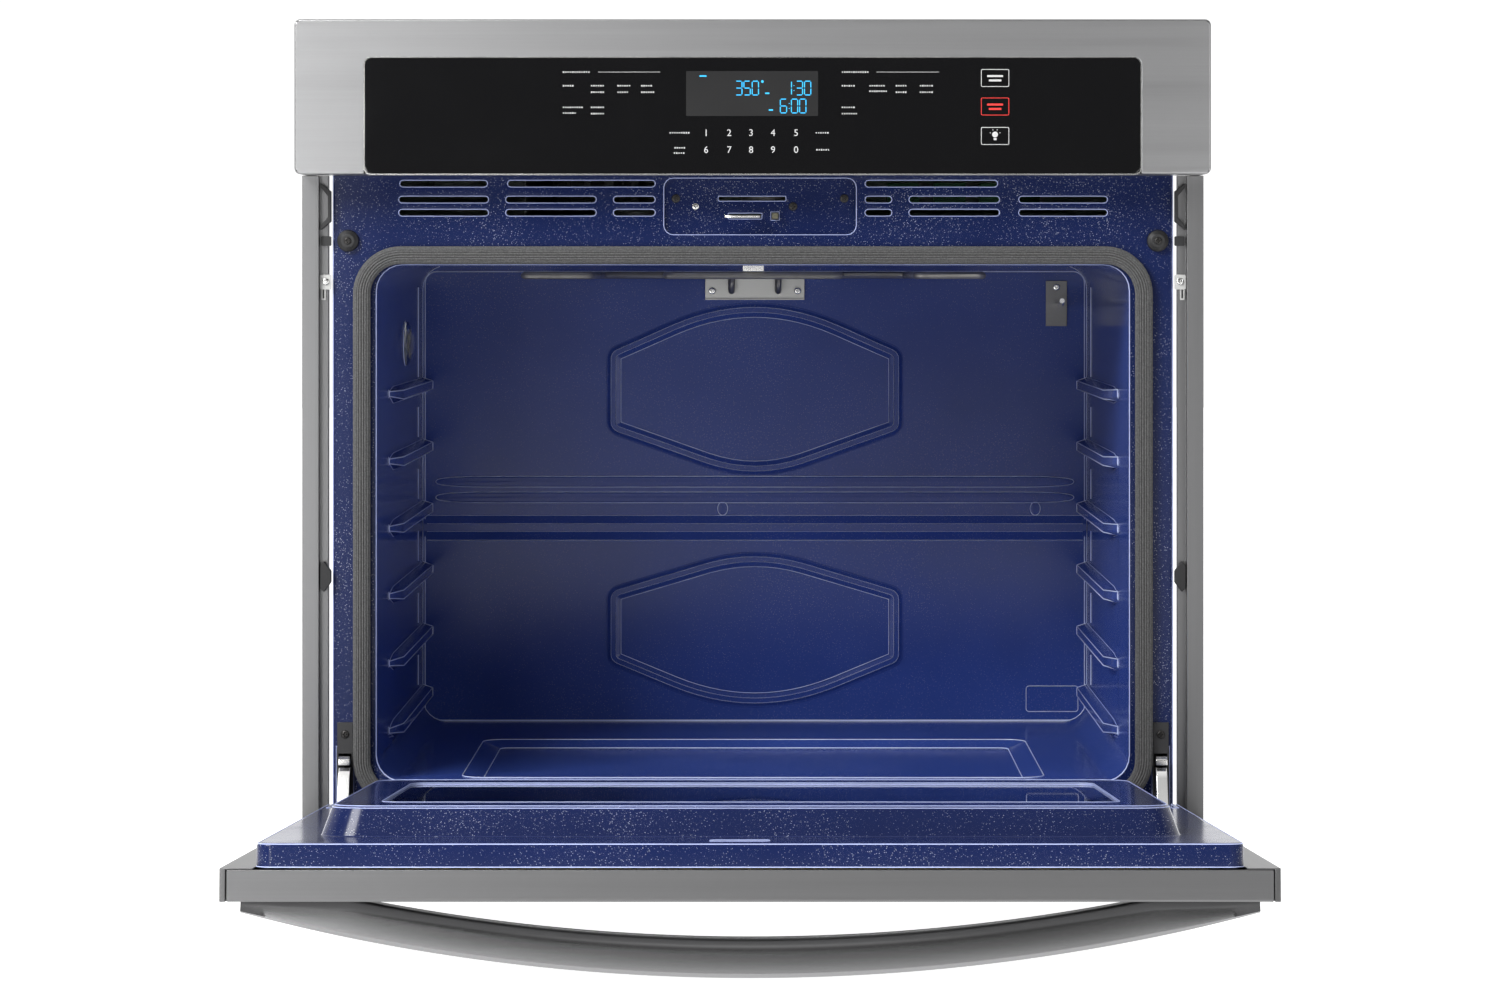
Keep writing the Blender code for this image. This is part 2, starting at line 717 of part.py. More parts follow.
# Cooling blower
def build_blower(steel, plastic, dark):
    low, high = BLOWER_Z
    wall = SHEET
    centre = (BLOWER_X, BLOWER_Y)

    def volute(inset):
        """A drum with a duct that leaves it forwards on one side."""
        radius = VOLUTE_R - inset
        duct_x = 0.045 - inset
        mouth_y = 0.160 - inset * 3
        points = []
        start = -math.acos(duct_x / radius) if duct_x < radius else 0.0
        for i in range(25):
            angle = start + (math.pi - start) * i / 24
            points.append((centre[0] + radius * math.cos(angle), centre[1] + radius * math.sin(angle)))
        points.append((centre[0] - radius, mouth_y))
        points.append((centre[0] + duct_x, mouth_y))
        return points

    bm = empty_mesh()
    add_prism(bm, volute(0.0), "Z", (low, high))
    housing = publish("blower_housing", bm, steel)
    bm = empty_mesh()
    add_prism(bm, volute(wall), "Z", (low + wall, high - wall))
    cut(housing, bm, "hollow")
    bm = empty_mesh()
    add_prism(bm, circle(*centre, 0.046, 24), "Z", (high - 0.01, high + 0.01))
    cut(housing, bm, "inlet")

    bm = empty_mesh()
    blades = 18
    outline = []
    for i in range(blades):
        for shift, radius in ((0.0, WHEEL_R), (0.10, WHEEL_R), (0.16, 0.040), (0.26, 0.040)):
            angle = 2 * math.pi * i / blades + shift
            outline.append((centre[0] + radius * math.cos(angle), centre[1] + radius * math.sin(angle)))
    add_prism(bm, outline, "Z", WHEEL_Z)
    wheel = publish("blower_wheel", bm, plastic, origin=(*centre, sum(WHEEL_Z) / 2))
    bm = empty_mesh()
    add_prism(bm, circle(*centre, 0.004, 12), "Z", (0.620, 0.6495))
    join(wheel, bm, "shaft")

    bm = empty_mesh()
    add_turned(bm, [(0.030, 0.650), (0.036, 0.656), (0.036, 0.690), (0.028, 0.698)], centre, "Z", 20)
    motor = publish("blower_motor", bm, dark)
    bm = empty_mesh()
    leg_reach, leg_half = 0.0545, 0.004
    for k in range(3):
        angle = math.radians(90 + 120 * k)
        x = centre[0] + leg_reach * math.cos(angle)
        y = centre[1] + leg_reach * math.sin(angle)
        add_box(bm, (x - leg_half, x + leg_half), (y - leg_half, y + leg_half), (high + GAP, 0.664))
    join(motor, bm, "legs")
    bm = empty_mesh()
    add_prism(bm, circle(*centre, 0.060, 24), "Z", (0.660, 0.6665))
    join(motor, bm, "plate")

    bm = empty_mesh()
    flue_low = CAVITY_Z[1] + CAVITY_WALL + GAP
    inner = (FLUE_X[0] + 0.001, FLUE_X[1] - 0.001), (FLUE_Y[0] + 0.001, FLUE_Y[1] - 0.001)
    outer = (FLUE_X[0] - 0.0005, FLUE_X[1] + 0.0005), (FLUE_Y[0] - 0.0005, FLUE_Y[1] + 0.0005)
    loops = []
    for spans, z in ((inner, flue_low), (inner, FLUE_TOP_Z), (outer, FLUE_TOP_Z), (outer, flue_low)):
        (x0, x1), (y0, y1) = spans
        loops.append(lift([(x0, y0), (x1, y0), (x1, y1), (x0, y1)], "Z", z))
    add_ring(bm, loops)
    publish("flue_duct", bm, steel)


# Controls
def build_controls(stainless, glass, display, board):
    half = FACE_W / 2
    z = (HEIGHT - FASCIA_H, HEIGHT)
    sheet = 0.0012
    edge = 0.0008
    outside = rounded((-half, half), z, 0.005, 5)
    face = rounded((-half + edge, half - edge), (z[0] + edge, z[1] - edge), 0.0042, 5)
    bm = empty_mesh()
    loops = [lift(outside, "Y", -0.0005), lift(outside, "Y", FACE_Y + edge), lift(face, "Y", FACE_Y)]
    add_loft(bm, loops)
    fascia = publish("control_fascia", bm, stainless)
    bm = empty_mesh()
    inside = rounded((-half + sheet, half - sheet), (z[0] + sheet, z[1] - sheet), 0.004, 5)
    add_prism(bm, inside, "Y", (FACE_Y + 0.002, 0.01))
    cut(fascia, bm, "hollow")
    bm = empty_mesh()
    frame_room = FRAME_HALF_W + 0.001
    add_box(bm, (-frame_room, frame_room), (FRAME_Y - 0.0006, 0.01), (z[0] - 0.01, z[0] + 0.01))
    cut(fascia, bm, "frame_room")
    bm = empty_mesh()
    cut_out = rounded((-GLASS_HALF_W, GLASS_HALF_W), (z[0] - 0.02, GLASS_TOP_Z), 0.007, 5)
    add_prism(bm, cut_out, "Y", (FACE_Y - 0.01, FACE_Y + 0.0052))
    cut(fascia, bm, "glass_opening")

    bm = empty_mesh()
    glass_half = GLASS_HALF_W - GAP
    glass_z = (z[0] + GAP, GLASS_TOP_Z - GAP)
    front = FACE_Y + edge
    points = rounded((-glass_half, glass_half), glass_z, 0.0067, 5)
    add_prism(bm, points, "Y", (front, front + 0.004))
    publish("control_glass", bm, glass)

    bm = empty_mesh()
    add_box(bm, (-0.060, 0.060), (-0.0549, -0.0400), (0.650, 0.697))
    module = publish("display_module", bm, display)
    bm = empty_mesh()
    add_box(bm, DISPLAY_X, (-0.06, -0.0535), DISPLAY_Z)
    cut(module, bm)

    bm = empty_mesh()
    add_box(bm, (-0.300, 0.300), (-0.0360, -0.0344), (0.617, 0.727))
    control = publish("control_board", bm, board)
    bm = empty_mesh()
    chips = ((-0.22, 0.640, 0.040), (-0.05, 0.690, 0.060), (0.12, 0.650, 0.030), (0.24, 0.690, 0.024))
    for x, z0, w in chips:
        add_box(bm, (x - w / 2, x + w / 2), (-0.0350, -0.0230), (z0 - 0.012, z0 + 0.012))
    join(control, bm, "chips")

    bm = empty_mesh()
    add_box(bm, (0.100, 0.280), (0.120, 0.300), (0.5800, 0.5816))
    power = publish("power_board", bm, board)
    bm = empty_mesh()
    relays = ((0.130, 0.150, 0.022), (0.170, 0.150, 0.022), (0.210, 0.150, 0.022), (0.240, 0.250, 0.034))
    for x, y, h in relays:
        add_box(bm, (x - 0.014, x + 0.014), (y - 0.016, y + 0.016), (0.5810, 0.5816 + h))
    join(power, bm, "relays")


# Trims
def build_trims(stainless, rubber):
    edge, step, outer = TRIM_HALF_W
    t = FRAME_WALL
    profile = [
        (outer, TRIM_FACE_Y),
        (outer, 0.0),
        (outer - 0.010, 0.0),
        (outer - 0.010, -t),
        (outer - t, -t),
        (outer - t, TRIM_FACE_Y + t),
        (step + t, TRIM_FACE_Y + t),
        (step + t, TRIM_STRIP_Y + t),
        (edge + t, TRIM_STRIP_Y + t),
        (edge + t, 0.0),
        (edge, 0.0),
        (edge, TRIM_STRIP_Y),
        (step, TRIM_STRIP_Y),
        (step, TRIM_FACE_Y),
    ]
    top = HEIGHT - FASCIA_H - GAP
    for side, sign in SIDES:
        bm = empty_mesh()
        add_prism(bm, [(sign * x, y) for x, y in profile], "Z", (TRIM_FOOT_Z, top))
        publish(f"side_trim_{side}", bm, stainless)

        clip_x = (FRAME_HALF_W + GAP, 0.3602)
        clip_y = (-0.0170, TRIM_STRIP_Y - 0.0005)
        bm = empty_mesh()
        z0, z1 = CLIP_Z
        outline = [
            (clip_x[0], z0 + 0.007),
            (clip_x[1], z0),
            (clip_x[1], z0 + 0.004),
            (clip_x[0] + 0.0024, z0 + 0.011),
            (clip_x[0] + 0.0024, z1 - 0.011),
            (clip_x[1], z1 - 0.004),
            (clip_x[1], z1),
            (clip_x[0], z1 - 0.007),
        ]
        add_prism(bm, [(sign * x, z) for x, z in outline], "Y", clip_y)
        publish(f"trim_clip_upper_{side}", bm, rubber)

        bm = empty_mesh()
        z0, z1 = PLUG_Z
        outline = [
            (clip_x[0], z0 + 0.008),
            (clip_x[0] + 0.006, z0),
            (clip_x[1] + 0.001, z0 + 0.003),
            (clip_x[1] + 0.001, z1 - 0.003),
            (clip_x[0] + 0.006, z1),
            (clip_x[0], z1 - 0.008),
        ]
        add_prism(bm, [(sign * x, z) for x, z in outline], "Y", clip_y)
        publish(f"trim_plug_lower_{side}", bm, rubber)

    bm = empty_mesh()
    x = (-edge + GAP, edge - GAP)
    add_box(bm, x, (TRIM_FACE_Y, -0.0045), (TRIM_FOOT_Z, TRIM_BOTTOM_Z))
    bottom = publish("bottom_trim", bm, stainless)
    bm = empty_mesh()
    add_box(bm, (-1, 1), (TRIM_FACE_Y + t, 0.01), (TRIM_FOOT_Z + t, TRIM_BOTTOM_Z - t))
    cut(bottom, bm, "hollow")
    bm = empty_mesh()
    vents, pitch = 12, 0.050
    for i in range(vents):
        middle = (i - (vents - 1) / 2) * pitch
        slot = rounded((middle - 0.019, middle + 0.019), (0.015, 0.021), 0.0028, 3)
        add_prism(bm, slot, "Y", (TRIM_FACE_Y - 0.01, TRIM_FACE_Y + 0.01))
    cut(bottom, bm, "vents")


def build_bumpers(rubber):
    for side, sign in SIDES:
        bm = empty_mesh()
        profile = [
            (0.0070, FRAME_Y - GAP),
            (0.0092, FRAME_Y - 0.0015),
            (0.0088, FRAME_Y - 0.0050),
            (0.0055, FRAME_Y - 0.0072),
        ]
        add_turned(bm, profile, (sign * BUMPER_X, BUMPER_Z), "Y", 20)
        publish(f"door_bumper_{side}", bm, rubber)


# Hinges
def build_hinges(dark, bright):
    arm_profile = [
        (-0.0300, 0.0665),
        (-0.0225, 0.0735),
        (-0.0100, 0.0815),
        (0.0290, 0.0815),
        (0.0290, 0.0950),
        (0.0150, 0.0950),
        (0.0150, 0.1080),
        (-0.0080, 0.1130),
        (-0.0160, 0.1130),
        (-0.0225, 0.1050),
        (-0.0300, 0.0850),
        (-0.0400, 0.0718),
    ]
    pivot_r = 0.0068
    for i in range(7):
        angle = math.radians(110 + 200 * i / 6)
        arm_profile.append((HINGE_Y + pivot_r * math.cos(angle), HINGE_Z + pivot_r * math.sin(angle)))
    for side, sign in SIDES:
        bm = empty_mesh()
        plate_y = (-0.0088, FRAME_Y - GAP)
        add_box(bm, mirrored((SLOT_X[0], SLOT_X[1] - 0.0002), sign), plate_y, RECEIVER_Z)
        receiver = publish(f"hinge_receiver_{side}", bm, dark)
        bm = empty_mesh()
        add_box(bm, mirrored(SLOT_X, sign), (-0.0080, 0.040), (RECEIVER_Z[0], 0.129))
        join(receiver, bm, "pocket")
        bm = empty_mesh()
        room_x = (ARM_X[0] - 0.0006, ARM_X[1] + 0.0010)
        add_box(bm, mirrored(room_x, sign), (-0.02, 0.038), (0.0770, 0.1240))
        cut(receiver, bm)

        bm = empty_mesh()
        add_prism(bm, arm_profile, "X", mirrored(ARM_X, sign))
        arm = publish(f"hinge_arm_{side}", bm, bright)
        bm = empty_mesh()
        add_prism(bm, circle(HINGE_Y, HINGE_Z, 0.0033, 16), "X", (-1, 1))
        cut(arm, bm)

        pivot_y, pivot_z = LOCK_PIVOT
        lock = [
            (-0.0030, -0.0013),
            (0.0080, -0.0013),
            (0.0080, 0.0030),
            (0.0010, 0.0062),
            (-0.0030, 0.0035),
        ]
        bm = empty_mesh()
        add_prism(bm, [(pivot_y + y, pivot_z + z) for y, z in lock], "X", mirrored(ARM_X, sign))
        publish(f"hinge_lock_{side}", bm, bright, origin=(sign * sum(ARM_X) / 2, pivot_y, pivot_z))


# Door, drawn closed and hung on the hinge axis
def build_door(stainless, enamel, glass, wool, dark):
    hinge = bpy.data.objects.new("door_hinge_axis", None)
    bpy.context.scene.collection.objects.link(hinge)
    hinge.location = (0, HINGE_Y, HINGE_Z)
    hinge.rotation_euler = (math.radians(OPEN_DEG), 0, 0)

    half = FACE_W / 2
    skin_half = half - DOOR_RAIL_W - GAP
    sheet = 0.0012

    def rectangle(size, y, corner, inset=0.0, steps=5):
        half_w, low, high = size
        outline = rounded((-half_w + inset, half_w - inset), (low + inset, high - inset), corner, steps)
        return lift(outline, "Y", y)

    skin = (skin_half, *DOOR_Z)
    bm = empty_mesh()
    add_ring(
        bm,
        [
            rectangle(skin, SKIN_REAR_Y, 0.0015),
            rectangle(skin, FACE_Y + 0.001, 0.0015),
            rectangle(skin, FACE_Y, 0.0010, 0.001),
            rectangle(OUTER_WINDOW, FACE_Y, 0.012),
            rectangle(OUTER_WINDOW, FACE_Y + sheet, 0.012),
            rectangle(skin, FACE_Y + sheet, 0.0010, sheet),
            rectangle(skin, SKIN_REAR_Y, 0.0010, sheet),
        ],
    )
    publish("door_skin", bm, stainless, hinge)

    rail_rear = SKIN_REAR_Y + sheet
    rail = [
        (skin_half + GAP, FACE_Y),
        (half, FACE_Y),
        (half, rail_rear),
        (0.3540, rail_rear),
        (0.3540, SKIN_REAR_Y + GAP / 2),
        (skin_half + GAP, SKIN_REAR_Y + GAP / 2),
    ]
    for side, sign in SIDES:
        bm = empty_mesh()
        add_prism(bm, [(sign * x, y) for x, y in rail], "Z", DOOR_Z)
        publish(f"door_rail_{side}", bm, stainless, hinge)

    liner = (LINER_HALF_W, *LINER_Z)
    skin_t = 0.001
    rear = -0.0354
    bm = empty_mesh()
    add_ring(
        bm,
        [
            rectangle(liner, rear, 0.012, 0.0),
            rectangle(liner, FLANGE_Y - 0.0025, 0.012, 0.0),
            rectangle(liner, FLANGE_Y - 0.0007, 0.0115, 0.0007),
            rectangle(liner, FLANGE_Y, 0.011, 0.0025),
            rectangle(PLUG_BASE, FLANGE_Y, 0.030),
            rectangle(PLUG_TOP, PLUG_TOP_Y - 0.0015, 0.027, -0.0008),
            rectangle(PLUG_TOP, PLUG_TOP_Y, 0.026, 0.0012),
            rectangle(INNER_WINDOW, PLUG_TOP_Y, 0.014),
            rectangle(INNER_WINDOW, PLUG_TOP_Y - skin_t, 0.014),
            rectangle(PLUG_TOP, PLUG_TOP_Y - skin_t, 0.026, 0.0018),
            rectangle(PLUG_BASE, FLANGE_Y - skin_t, 0.030, 0.0009),
            rectangle(liner, FLANGE_Y - skin_t, 0.011, 0.0028),
            rectangle(liner, FLANGE_Y - 0.0028, 0.011, skin_t),
            rectangle(liner, rear, 0.011, skin_t),
        ],
    )
    panel = publish("door_liner", bm, enamel, hinge)
    bm = empty_mesh()
    for _, sign in SIDES:
        add_box(bm, mirrored(SLOT_X, sign), (-0.0400, 0.0), (0.040, 0.1290))
    add_prism(bm, rounded((-0.0290, 0.0140), (0.5650, 0.5810), 0.003, 3), "Y", (-0.03, 0.0))
    cut(panel, bm, "slots")

    bm = empty_mesh()
    outer = (OUTER_WINDOW[0] + 0.008, OUTER_WINDOW[1] - 0.008, OUTER_WINDOW[2] + 0.008)
    front = FACE_Y + sheet + GAP
    add_loft(bm, [rectangle(outer, front, 0.010), rectangle(outer, front + GLASS_T, 0.010)])
    publish("outer_glass", bm, glass, hinge)
    bm = empty_mesh()
    inner = (INNER_WINDOW[0] + 0.012, INNER_WINDOW[1] - 0.012, INNER_WINDOW[2] + 0.012)
    inner_front = PLUG_TOP_Y - skin_t - GAP
    add_loft(bm, [rectangle(inner, inner_front, 0.010), rectangle(inner, inner_front - GLASS_T, 0.010)])
    publish("inner_glass", bm, glass, hinge)

    bm = empty_mesh()
    frame_y = (front + GLASS_T + GAP, inner_front - GLASS_T - GAP)
    clear = (OUTER_WINDOW[0], OUTER_WINDOW[1] - 0.002, OUTER_WINDOW[2] - 0.002)
    add_ring(
        bm,
        [
            rectangle(inner, frame_y[0], 0.012),
            rectangle(inner, frame_y[1], 0.012),
            rectangle(clear, frame_y[1], 0.012),
            rectangle(clear, frame_y[0], 0.012),
        ],
    )
    publish("glass_frame", bm, dark, hinge)

    bm = empty_mesh()
    blanket = (0.3300, 0.075, 0.596)
    wool_y = (FACE_Y + 0.002, -0.0262)
    hole = (inner[0] + 0.001, inner[1] - 0.001, outer[2] + 0.003)
    add_ring(
        bm,
        [
            rectangle(blanket, wool_y[0], 0.012),
            rectangle(blanket, wool_y[1], 0.012),
            rectangle(hole, wool_y[1], 0.013),
            rectangle(hole, wool_y[0], 0.013),
        ],
    )
    publish("door_insulation", bm, wool, hinge)

    for side, sign in SIDES:
        x0, x1 = CHANNEL_X
        y0, y1 = CHANNEL_Y
        wall = 0.0011
        channel = [
            (x0, y1),
            (x0, y0),
            (x1, y0),
            (x1, y1),
            (x1 - wall, y1),
            (x1 - wall, y0 + wall),
            (x0 + wall, y0 + wall),
            (x0 + wall, y1),
        ]
        bm = empty_mesh()
        add_prism(bm, [(sign * x, y) for x, y in channel], "Z", CHANNEL_Z)
        body = publish(f"hinge_channel_{side}", bm, dark, hinge)
        bm = empty_mesh()
        pin = circle(HINGE_Y, HINGE_Z, 0.0030, 16)
        add_prism(bm, pin, "X", mirrored((x0 + 0.0003, x1 - 0.0003), sign))
        join(body, bm, "pin")

    build_handle(stainless, hinge)


def arc_reach(x, middle, end, half_w):
    """How far a circular bow stands from the door's face at x."""
    rise = middle - end
    radius = (half_w**2 + rise**2) / (2 * rise)
    return middle - radius + math.sqrt(radius**2 - x**2)


def build_handle(stainless, hinge):
    """A bowed bar whose ends run out on the door's face."""
    face = FACE_Y - GAP
    stations = 24
    loops = []
    low, high = HANDLE_Z
    round_y = 0.005
    for i in range(stations + 1):
        x = HANDLE_HALF_W * math.sin(math.pi / 2 * (2 * i / stations - 1))
        reach = arc_reach(x, HANDLE_REACH, HANDLE_END_REACH, HANDLE_HALF_W)
        outer_y = FACE_Y - reach
        inner_y = min(outer_y + HANDLE_BAR_T, face)
        r = min(round_y, (inner_y - outer_y) * 0.3)
        outline = rounded((outer_y, inner_y), (low, high), r, 3)
        loops.append(lift(outline, "X", x))
    bm = empty_mesh()
    add_loft(bm, loops)
    publish("handle_bar", bm, stainless, hinge)


def main():
    for obj in list(bpy.data.objects):
        bpy.data.objects.remove(obj, do_unlink=True)

    stainless = finish("brushed_stainless", (0.56, 0.56, 0.57), 0.32, 1.0)
    sheet_steel = finish("zinc_sheet", (0.52, 0.53, 0.54), 0.45, 1.0)
    chrome = finish("chromed_steel", (0.78, 0.78, 0.78), 0.14, 1.0)
    sheath = finish("element_sheath", (0.16, 0.15, 0.14), 0.45, 0.8)
    enamel = finish("blue_enamel", (0.025, 0.038, 0.160), 0.16)
    black_glass = finish("black_glass", (0.010, 0.010, 0.011), 0.08)
    clear_glass = finish("door_glass", (0.05, 0.06, 0.07), 0.05, 0.0, 0.45)
    display = finish("display_grey", (0.06, 0.06, 0.065), 0.3)
    board = finish("circuit_board", (0.03, 0.16, 0.06), 0.5)
    rubber = finish("black_rubber", (0.018, 0.018, 0.019), 0.6)
    dark = finish("dark_steel", (0.050, 0.050, 0.055), 0.4, 0.6)
    plastic = finish("grey_plastic", (0.20, 0.20, 0.20), 0.5)
    braid = finish("gasket_braid", (0.15, 0.145, 0.135), 0.8)
    wool = finish("mineral_wool", (0.62, 0.56, 0.36), 0.95)
    ceramic = finish("lamp_ceramic", (0.80, 0.79, 0.74), 0.5)

    build_case(sheet_steel)
    build_supply(sheet_steel, plastic)
    build_front_frame(enamel)
    build_cavity(enamel)
    build_insulation(wool)
    build_gasket(braid)
    build_elements(sheath, stainless, chrome)
    build_lamp(ceramic, clear_glass)
    build_latch(sheet_steel, chrome, plastic)
    build_blower(sheet_steel, plastic, dark)
    build_controls(stainless, black_glass, display, board)
    build_trims(stainless, rubber)
    build_bumpers(rubber)
    build_hinges(dark, chrome)
    build_door(stainless, enamel, clear_glass, wool, dark)


main()
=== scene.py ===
"""Looks of a built-in wall oven with a drop-down door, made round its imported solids.

Sizes are in metres in the row frame: X to the right, Y into the wall, Z up.
"""

import json
import logging
import math
from dataclasses import dataclass, field
from enum import Enum
from typing import Callable, Iterable, Optional, Sequence

import bmesh
import bpy
from mathutils import Matrix, Vector


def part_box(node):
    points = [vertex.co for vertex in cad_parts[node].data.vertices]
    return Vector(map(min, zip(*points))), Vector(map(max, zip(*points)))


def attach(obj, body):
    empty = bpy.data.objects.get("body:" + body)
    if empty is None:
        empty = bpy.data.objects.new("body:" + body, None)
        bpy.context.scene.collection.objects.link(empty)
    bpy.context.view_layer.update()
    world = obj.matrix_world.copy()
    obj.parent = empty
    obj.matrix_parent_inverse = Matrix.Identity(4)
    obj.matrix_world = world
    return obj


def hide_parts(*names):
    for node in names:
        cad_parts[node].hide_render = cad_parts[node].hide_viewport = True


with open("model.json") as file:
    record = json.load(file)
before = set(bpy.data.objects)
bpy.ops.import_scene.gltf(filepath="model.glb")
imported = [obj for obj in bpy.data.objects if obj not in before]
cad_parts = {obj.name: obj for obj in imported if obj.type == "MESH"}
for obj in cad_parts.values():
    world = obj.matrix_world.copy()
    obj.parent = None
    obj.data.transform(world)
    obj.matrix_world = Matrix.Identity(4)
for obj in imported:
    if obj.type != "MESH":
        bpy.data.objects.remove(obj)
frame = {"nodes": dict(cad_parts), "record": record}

for stray in ("Cube", "Light", "Camera"):
    if stray in bpy.data.objects:
        bpy.data.objects.remove(bpy.data.objects[stray])
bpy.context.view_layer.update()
LOG = logging.getLogger("wall_oven")

Colour = tuple[float, float, float]
Point = tuple[float, float, float]
SIDES = (("left", -1), ("right", 1))
MOST_CORNERS = 12


# ---------------------------------------------------------------- wiring


class Wiring:
    """Adds and joins nodes in one node tree."""

    def __init__(self, tree: bpy.types.NodeTree) -> None:
        """Clears the tree and keeps it.

        Args:
            tree: the node tree to fill.
        """
        self.tree = tree
        self.tree.nodes.clear()

    def add(self, kind: str, values: Optional[dict] = None, **settings: object) -> bpy.types.Node:
        """Adds one node.

        Args:
            kind: the node's type name.
            values: an input's name or number, and the socket or number that feeds it.
            settings: attributes of the node itself.

        Returns:
            The new node.
        """
        node = self.tree.nodes.new(kind)
        for name, setting in settings.items():
            setattr(node, name, setting)
        for key, value in (values or {}).items():
            if isinstance(value, bpy.types.NodeSocket):
                self.tree.links.new(value, node.inputs[key])
            else:
                node.inputs[key].default_value = value
        return node

    def math(self, operation: str, *values: object, clamp: bool = False) -> bpy.types.NodeSocket:
        """Adds a Math node and returns its result.

        Args:
            operation: the operation's name.
            values: sockets or numbers, in order.
            clamp: keep the result between 0 and 1.

        Returns:
            The result socket.
        """
        values_by_place = dict(enumerate(values))
        node = self.add("ShaderNodeMath", values_by_place, operation=operation, use_clamp=clamp)
        return node.outputs[0]

    def span(self, value: object, low: float, high: float, to_low: float = 0.0,
             to_high: float = 1.0) -> bpy.types.NodeSocket:
        """Maps a number from one range to another, clamped.

        Args:
            value: the socket to map.
            low: start of the range it comes from.
            high: end of the range it comes from.
            to_low: start of the range it goes to.
            to_high: end of the range it goes to.

        Returns:
            The mapped socket.
        """
        values = {0: value, 1: low, 2: high, 3: to_low, 4: to_high}
        return self.add("ShaderNodeMapRange", values).outputs[0]

    def noise(self, place: object, scale: object, detail: float, **more: float) -> bpy.types.NodeSocket:
        """Adds a Noise Texture and returns its grey value."""
        values = {"Vector": place, "Scale": scale, "Detail": detail, **more}
        return self.add("ShaderNodeTexNoise", values).outputs["Fac"]

    def named(self, name: str, kind: str = "FLOAT_VECTOR") -> bpy.types.NodeSocket:
        """Adds a Named Attribute node and returns its value."""
        return self.add("GeometryNodeInputNamedAttribute", {"Name": name}, data_type=kind).outputs[0]

    def give(self, **results: bpy.types.NodeSocket) -> bpy.types.NodeTree:
        """Links results to the group's named outputs and returns the tree."""
        for name, result in results.items():
            self.tree.links.new(result, self.end.inputs[name])
        return self.tree

    def mix(self, mask: object, first: object, second: object) -> bpy.types.NodeSocket:
        """Mixes two colours by a mask and returns the colour socket."""
        values = {"Factor": mask, 6: first, 7: second}
        return self.add("ShaderNodeMix", values, data_type="RGBA").outputs[2]


def new_group(name: str, kind: str, inputs: Iterable[tuple], outputs: Iterable[tuple]) -> Wiring:
    """Starts a node group with named sockets.

    Args:
        name: the group's name.
        kind: the tree's type name.
        inputs: (name, socket type, default) of each input.
        outputs: (name, socket type) of each output.

    Returns:
        The wiring of the group, with its Group Input and Group Output placed.
    """
    tree = bpy.data.node_groups.new(name, kind)
    for label, socket, value in inputs:
        made = tree.interface.new_socket(name=label, in_out="INPUT", socket_type=socket)
        if value is not None:
            made.default_value = value
    for label, socket in outputs:
        tree.interface.new_socket(name=label, in_out="OUTPUT", socket_type=socket)
    wires = Wiring(tree)
    wires.start = wires.add("NodeGroupInput")
    wires.end = wires.add("NodeGroupOutput")
    return wires


FLOAT, VECTOR = "NodeSocketFloat", "NodeSocketVector"


def grain_group() -> bpy.types.NodeTree:
    """Long fine brush lines: Mask and Height vary across them and hardly along them."""
    inputs = (("Vector", VECTOR, None), ("Stretch", VECTOR, (1, 1, 1)), ("Contrast", FLOAT, 1.0))
    wires = new_group("brush_grain", "ShaderNodeTree", inputs, (("Mask", FLOAT), ("Height", FLOAT)))
    start = wires.start.outputs
    stretched = wires.add("ShaderNodeVectorMath", {0: start["Vector"], 1: start["Stretch"]},
                          operation="MULTIPLY").outputs[0]
    fine = wires.noise(stretched, 1.0, 4.0, Roughness=0.7)
    broad = wires.noise(stretched, 0.12, 2.0)
    both = wires.math("MULTIPLY_ADD", broad, 0.45, wires.math("MULTIPLY", fine, 0.55))
    centred = wires.math("SUBTRACT", both, 0.5)
    mask = wires.math("MULTIPLY_ADD", centred, start["Contrast"], 0.5, clamp=True)
    return wires.give(Mask=mask, Height=fine)


def speckle_group() -> bpy.types.NodeTree:
    """Scattered small dots of two sizes, with a different share of dots from place to place."""
    inputs = (("Vector", VECTOR, None), ("Scale", FLOAT, 400.0), ("Size", FLOAT, 0.2))
    wires = new_group("speckle", "ShaderNodeTree", inputs, (("Mask", FLOAT), ("Clouds", FLOAT)))
    start = wires.start.outputs
    clouds = wires.noise(start["Vector"], 9.0, 3.0)
    size = wires.math("MULTIPLY", start["Size"], wires.span(clouds, 0.35, 0.7, 0.6, 1.25))
    dots = wires.add("ShaderNodeTexVoronoi", {"Vector": start["Vector"], "Scale": start["Scale"]})
    finer = wires.math("MULTIPLY", start["Scale"], 2.3)
    dust = wires.add("ShaderNodeTexVoronoi", {"Vector": start["Vector"], "Scale": finer})
    large = wires.math("LESS_THAN", dots.outputs["Distance"], size)
    small = wires.math("LESS_THAN", dust.outputs["Distance"], wires.math("MULTIPLY", size, 0.8))
    both = wires.math("MAXIMUM", large, wires.math("MULTIPLY", small, 0.6))
    return wires.give(Mask=both, Clouds=clouds)


def patina_group() -> bpy.types.NodeTree:
    """Handling marks: soft smears and a little dust, as a mask and a height."""
    inputs = (("Vector", VECTOR, None), ("Scale", FLOAT, 14.0), ("Amount", FLOAT, 0.5))
    wires = new_group("patina", "ShaderNodeTree", inputs, (("Mask", FLOAT), ("Height", FLOAT)))
    start = wires.start.outputs
    smears = wires.noise(start["Vector"], start["Scale"], 5.0, Distortion=0.6)
    pores = wires.noise(start["Vector"], wires.math("MULTIPLY", start["Scale"], 24.0), 2.0)
    mask = wires.math("MULTIPLY", wires.span(smears, 0.42, 0.72), start["Amount"])
    return wires.give(Mask=mask, Height=pores)


GRAIN, SPECKLE, PATINA = grain_group(), speckle_group(), patina_group()


# -------------------------------------------------------------- finishes


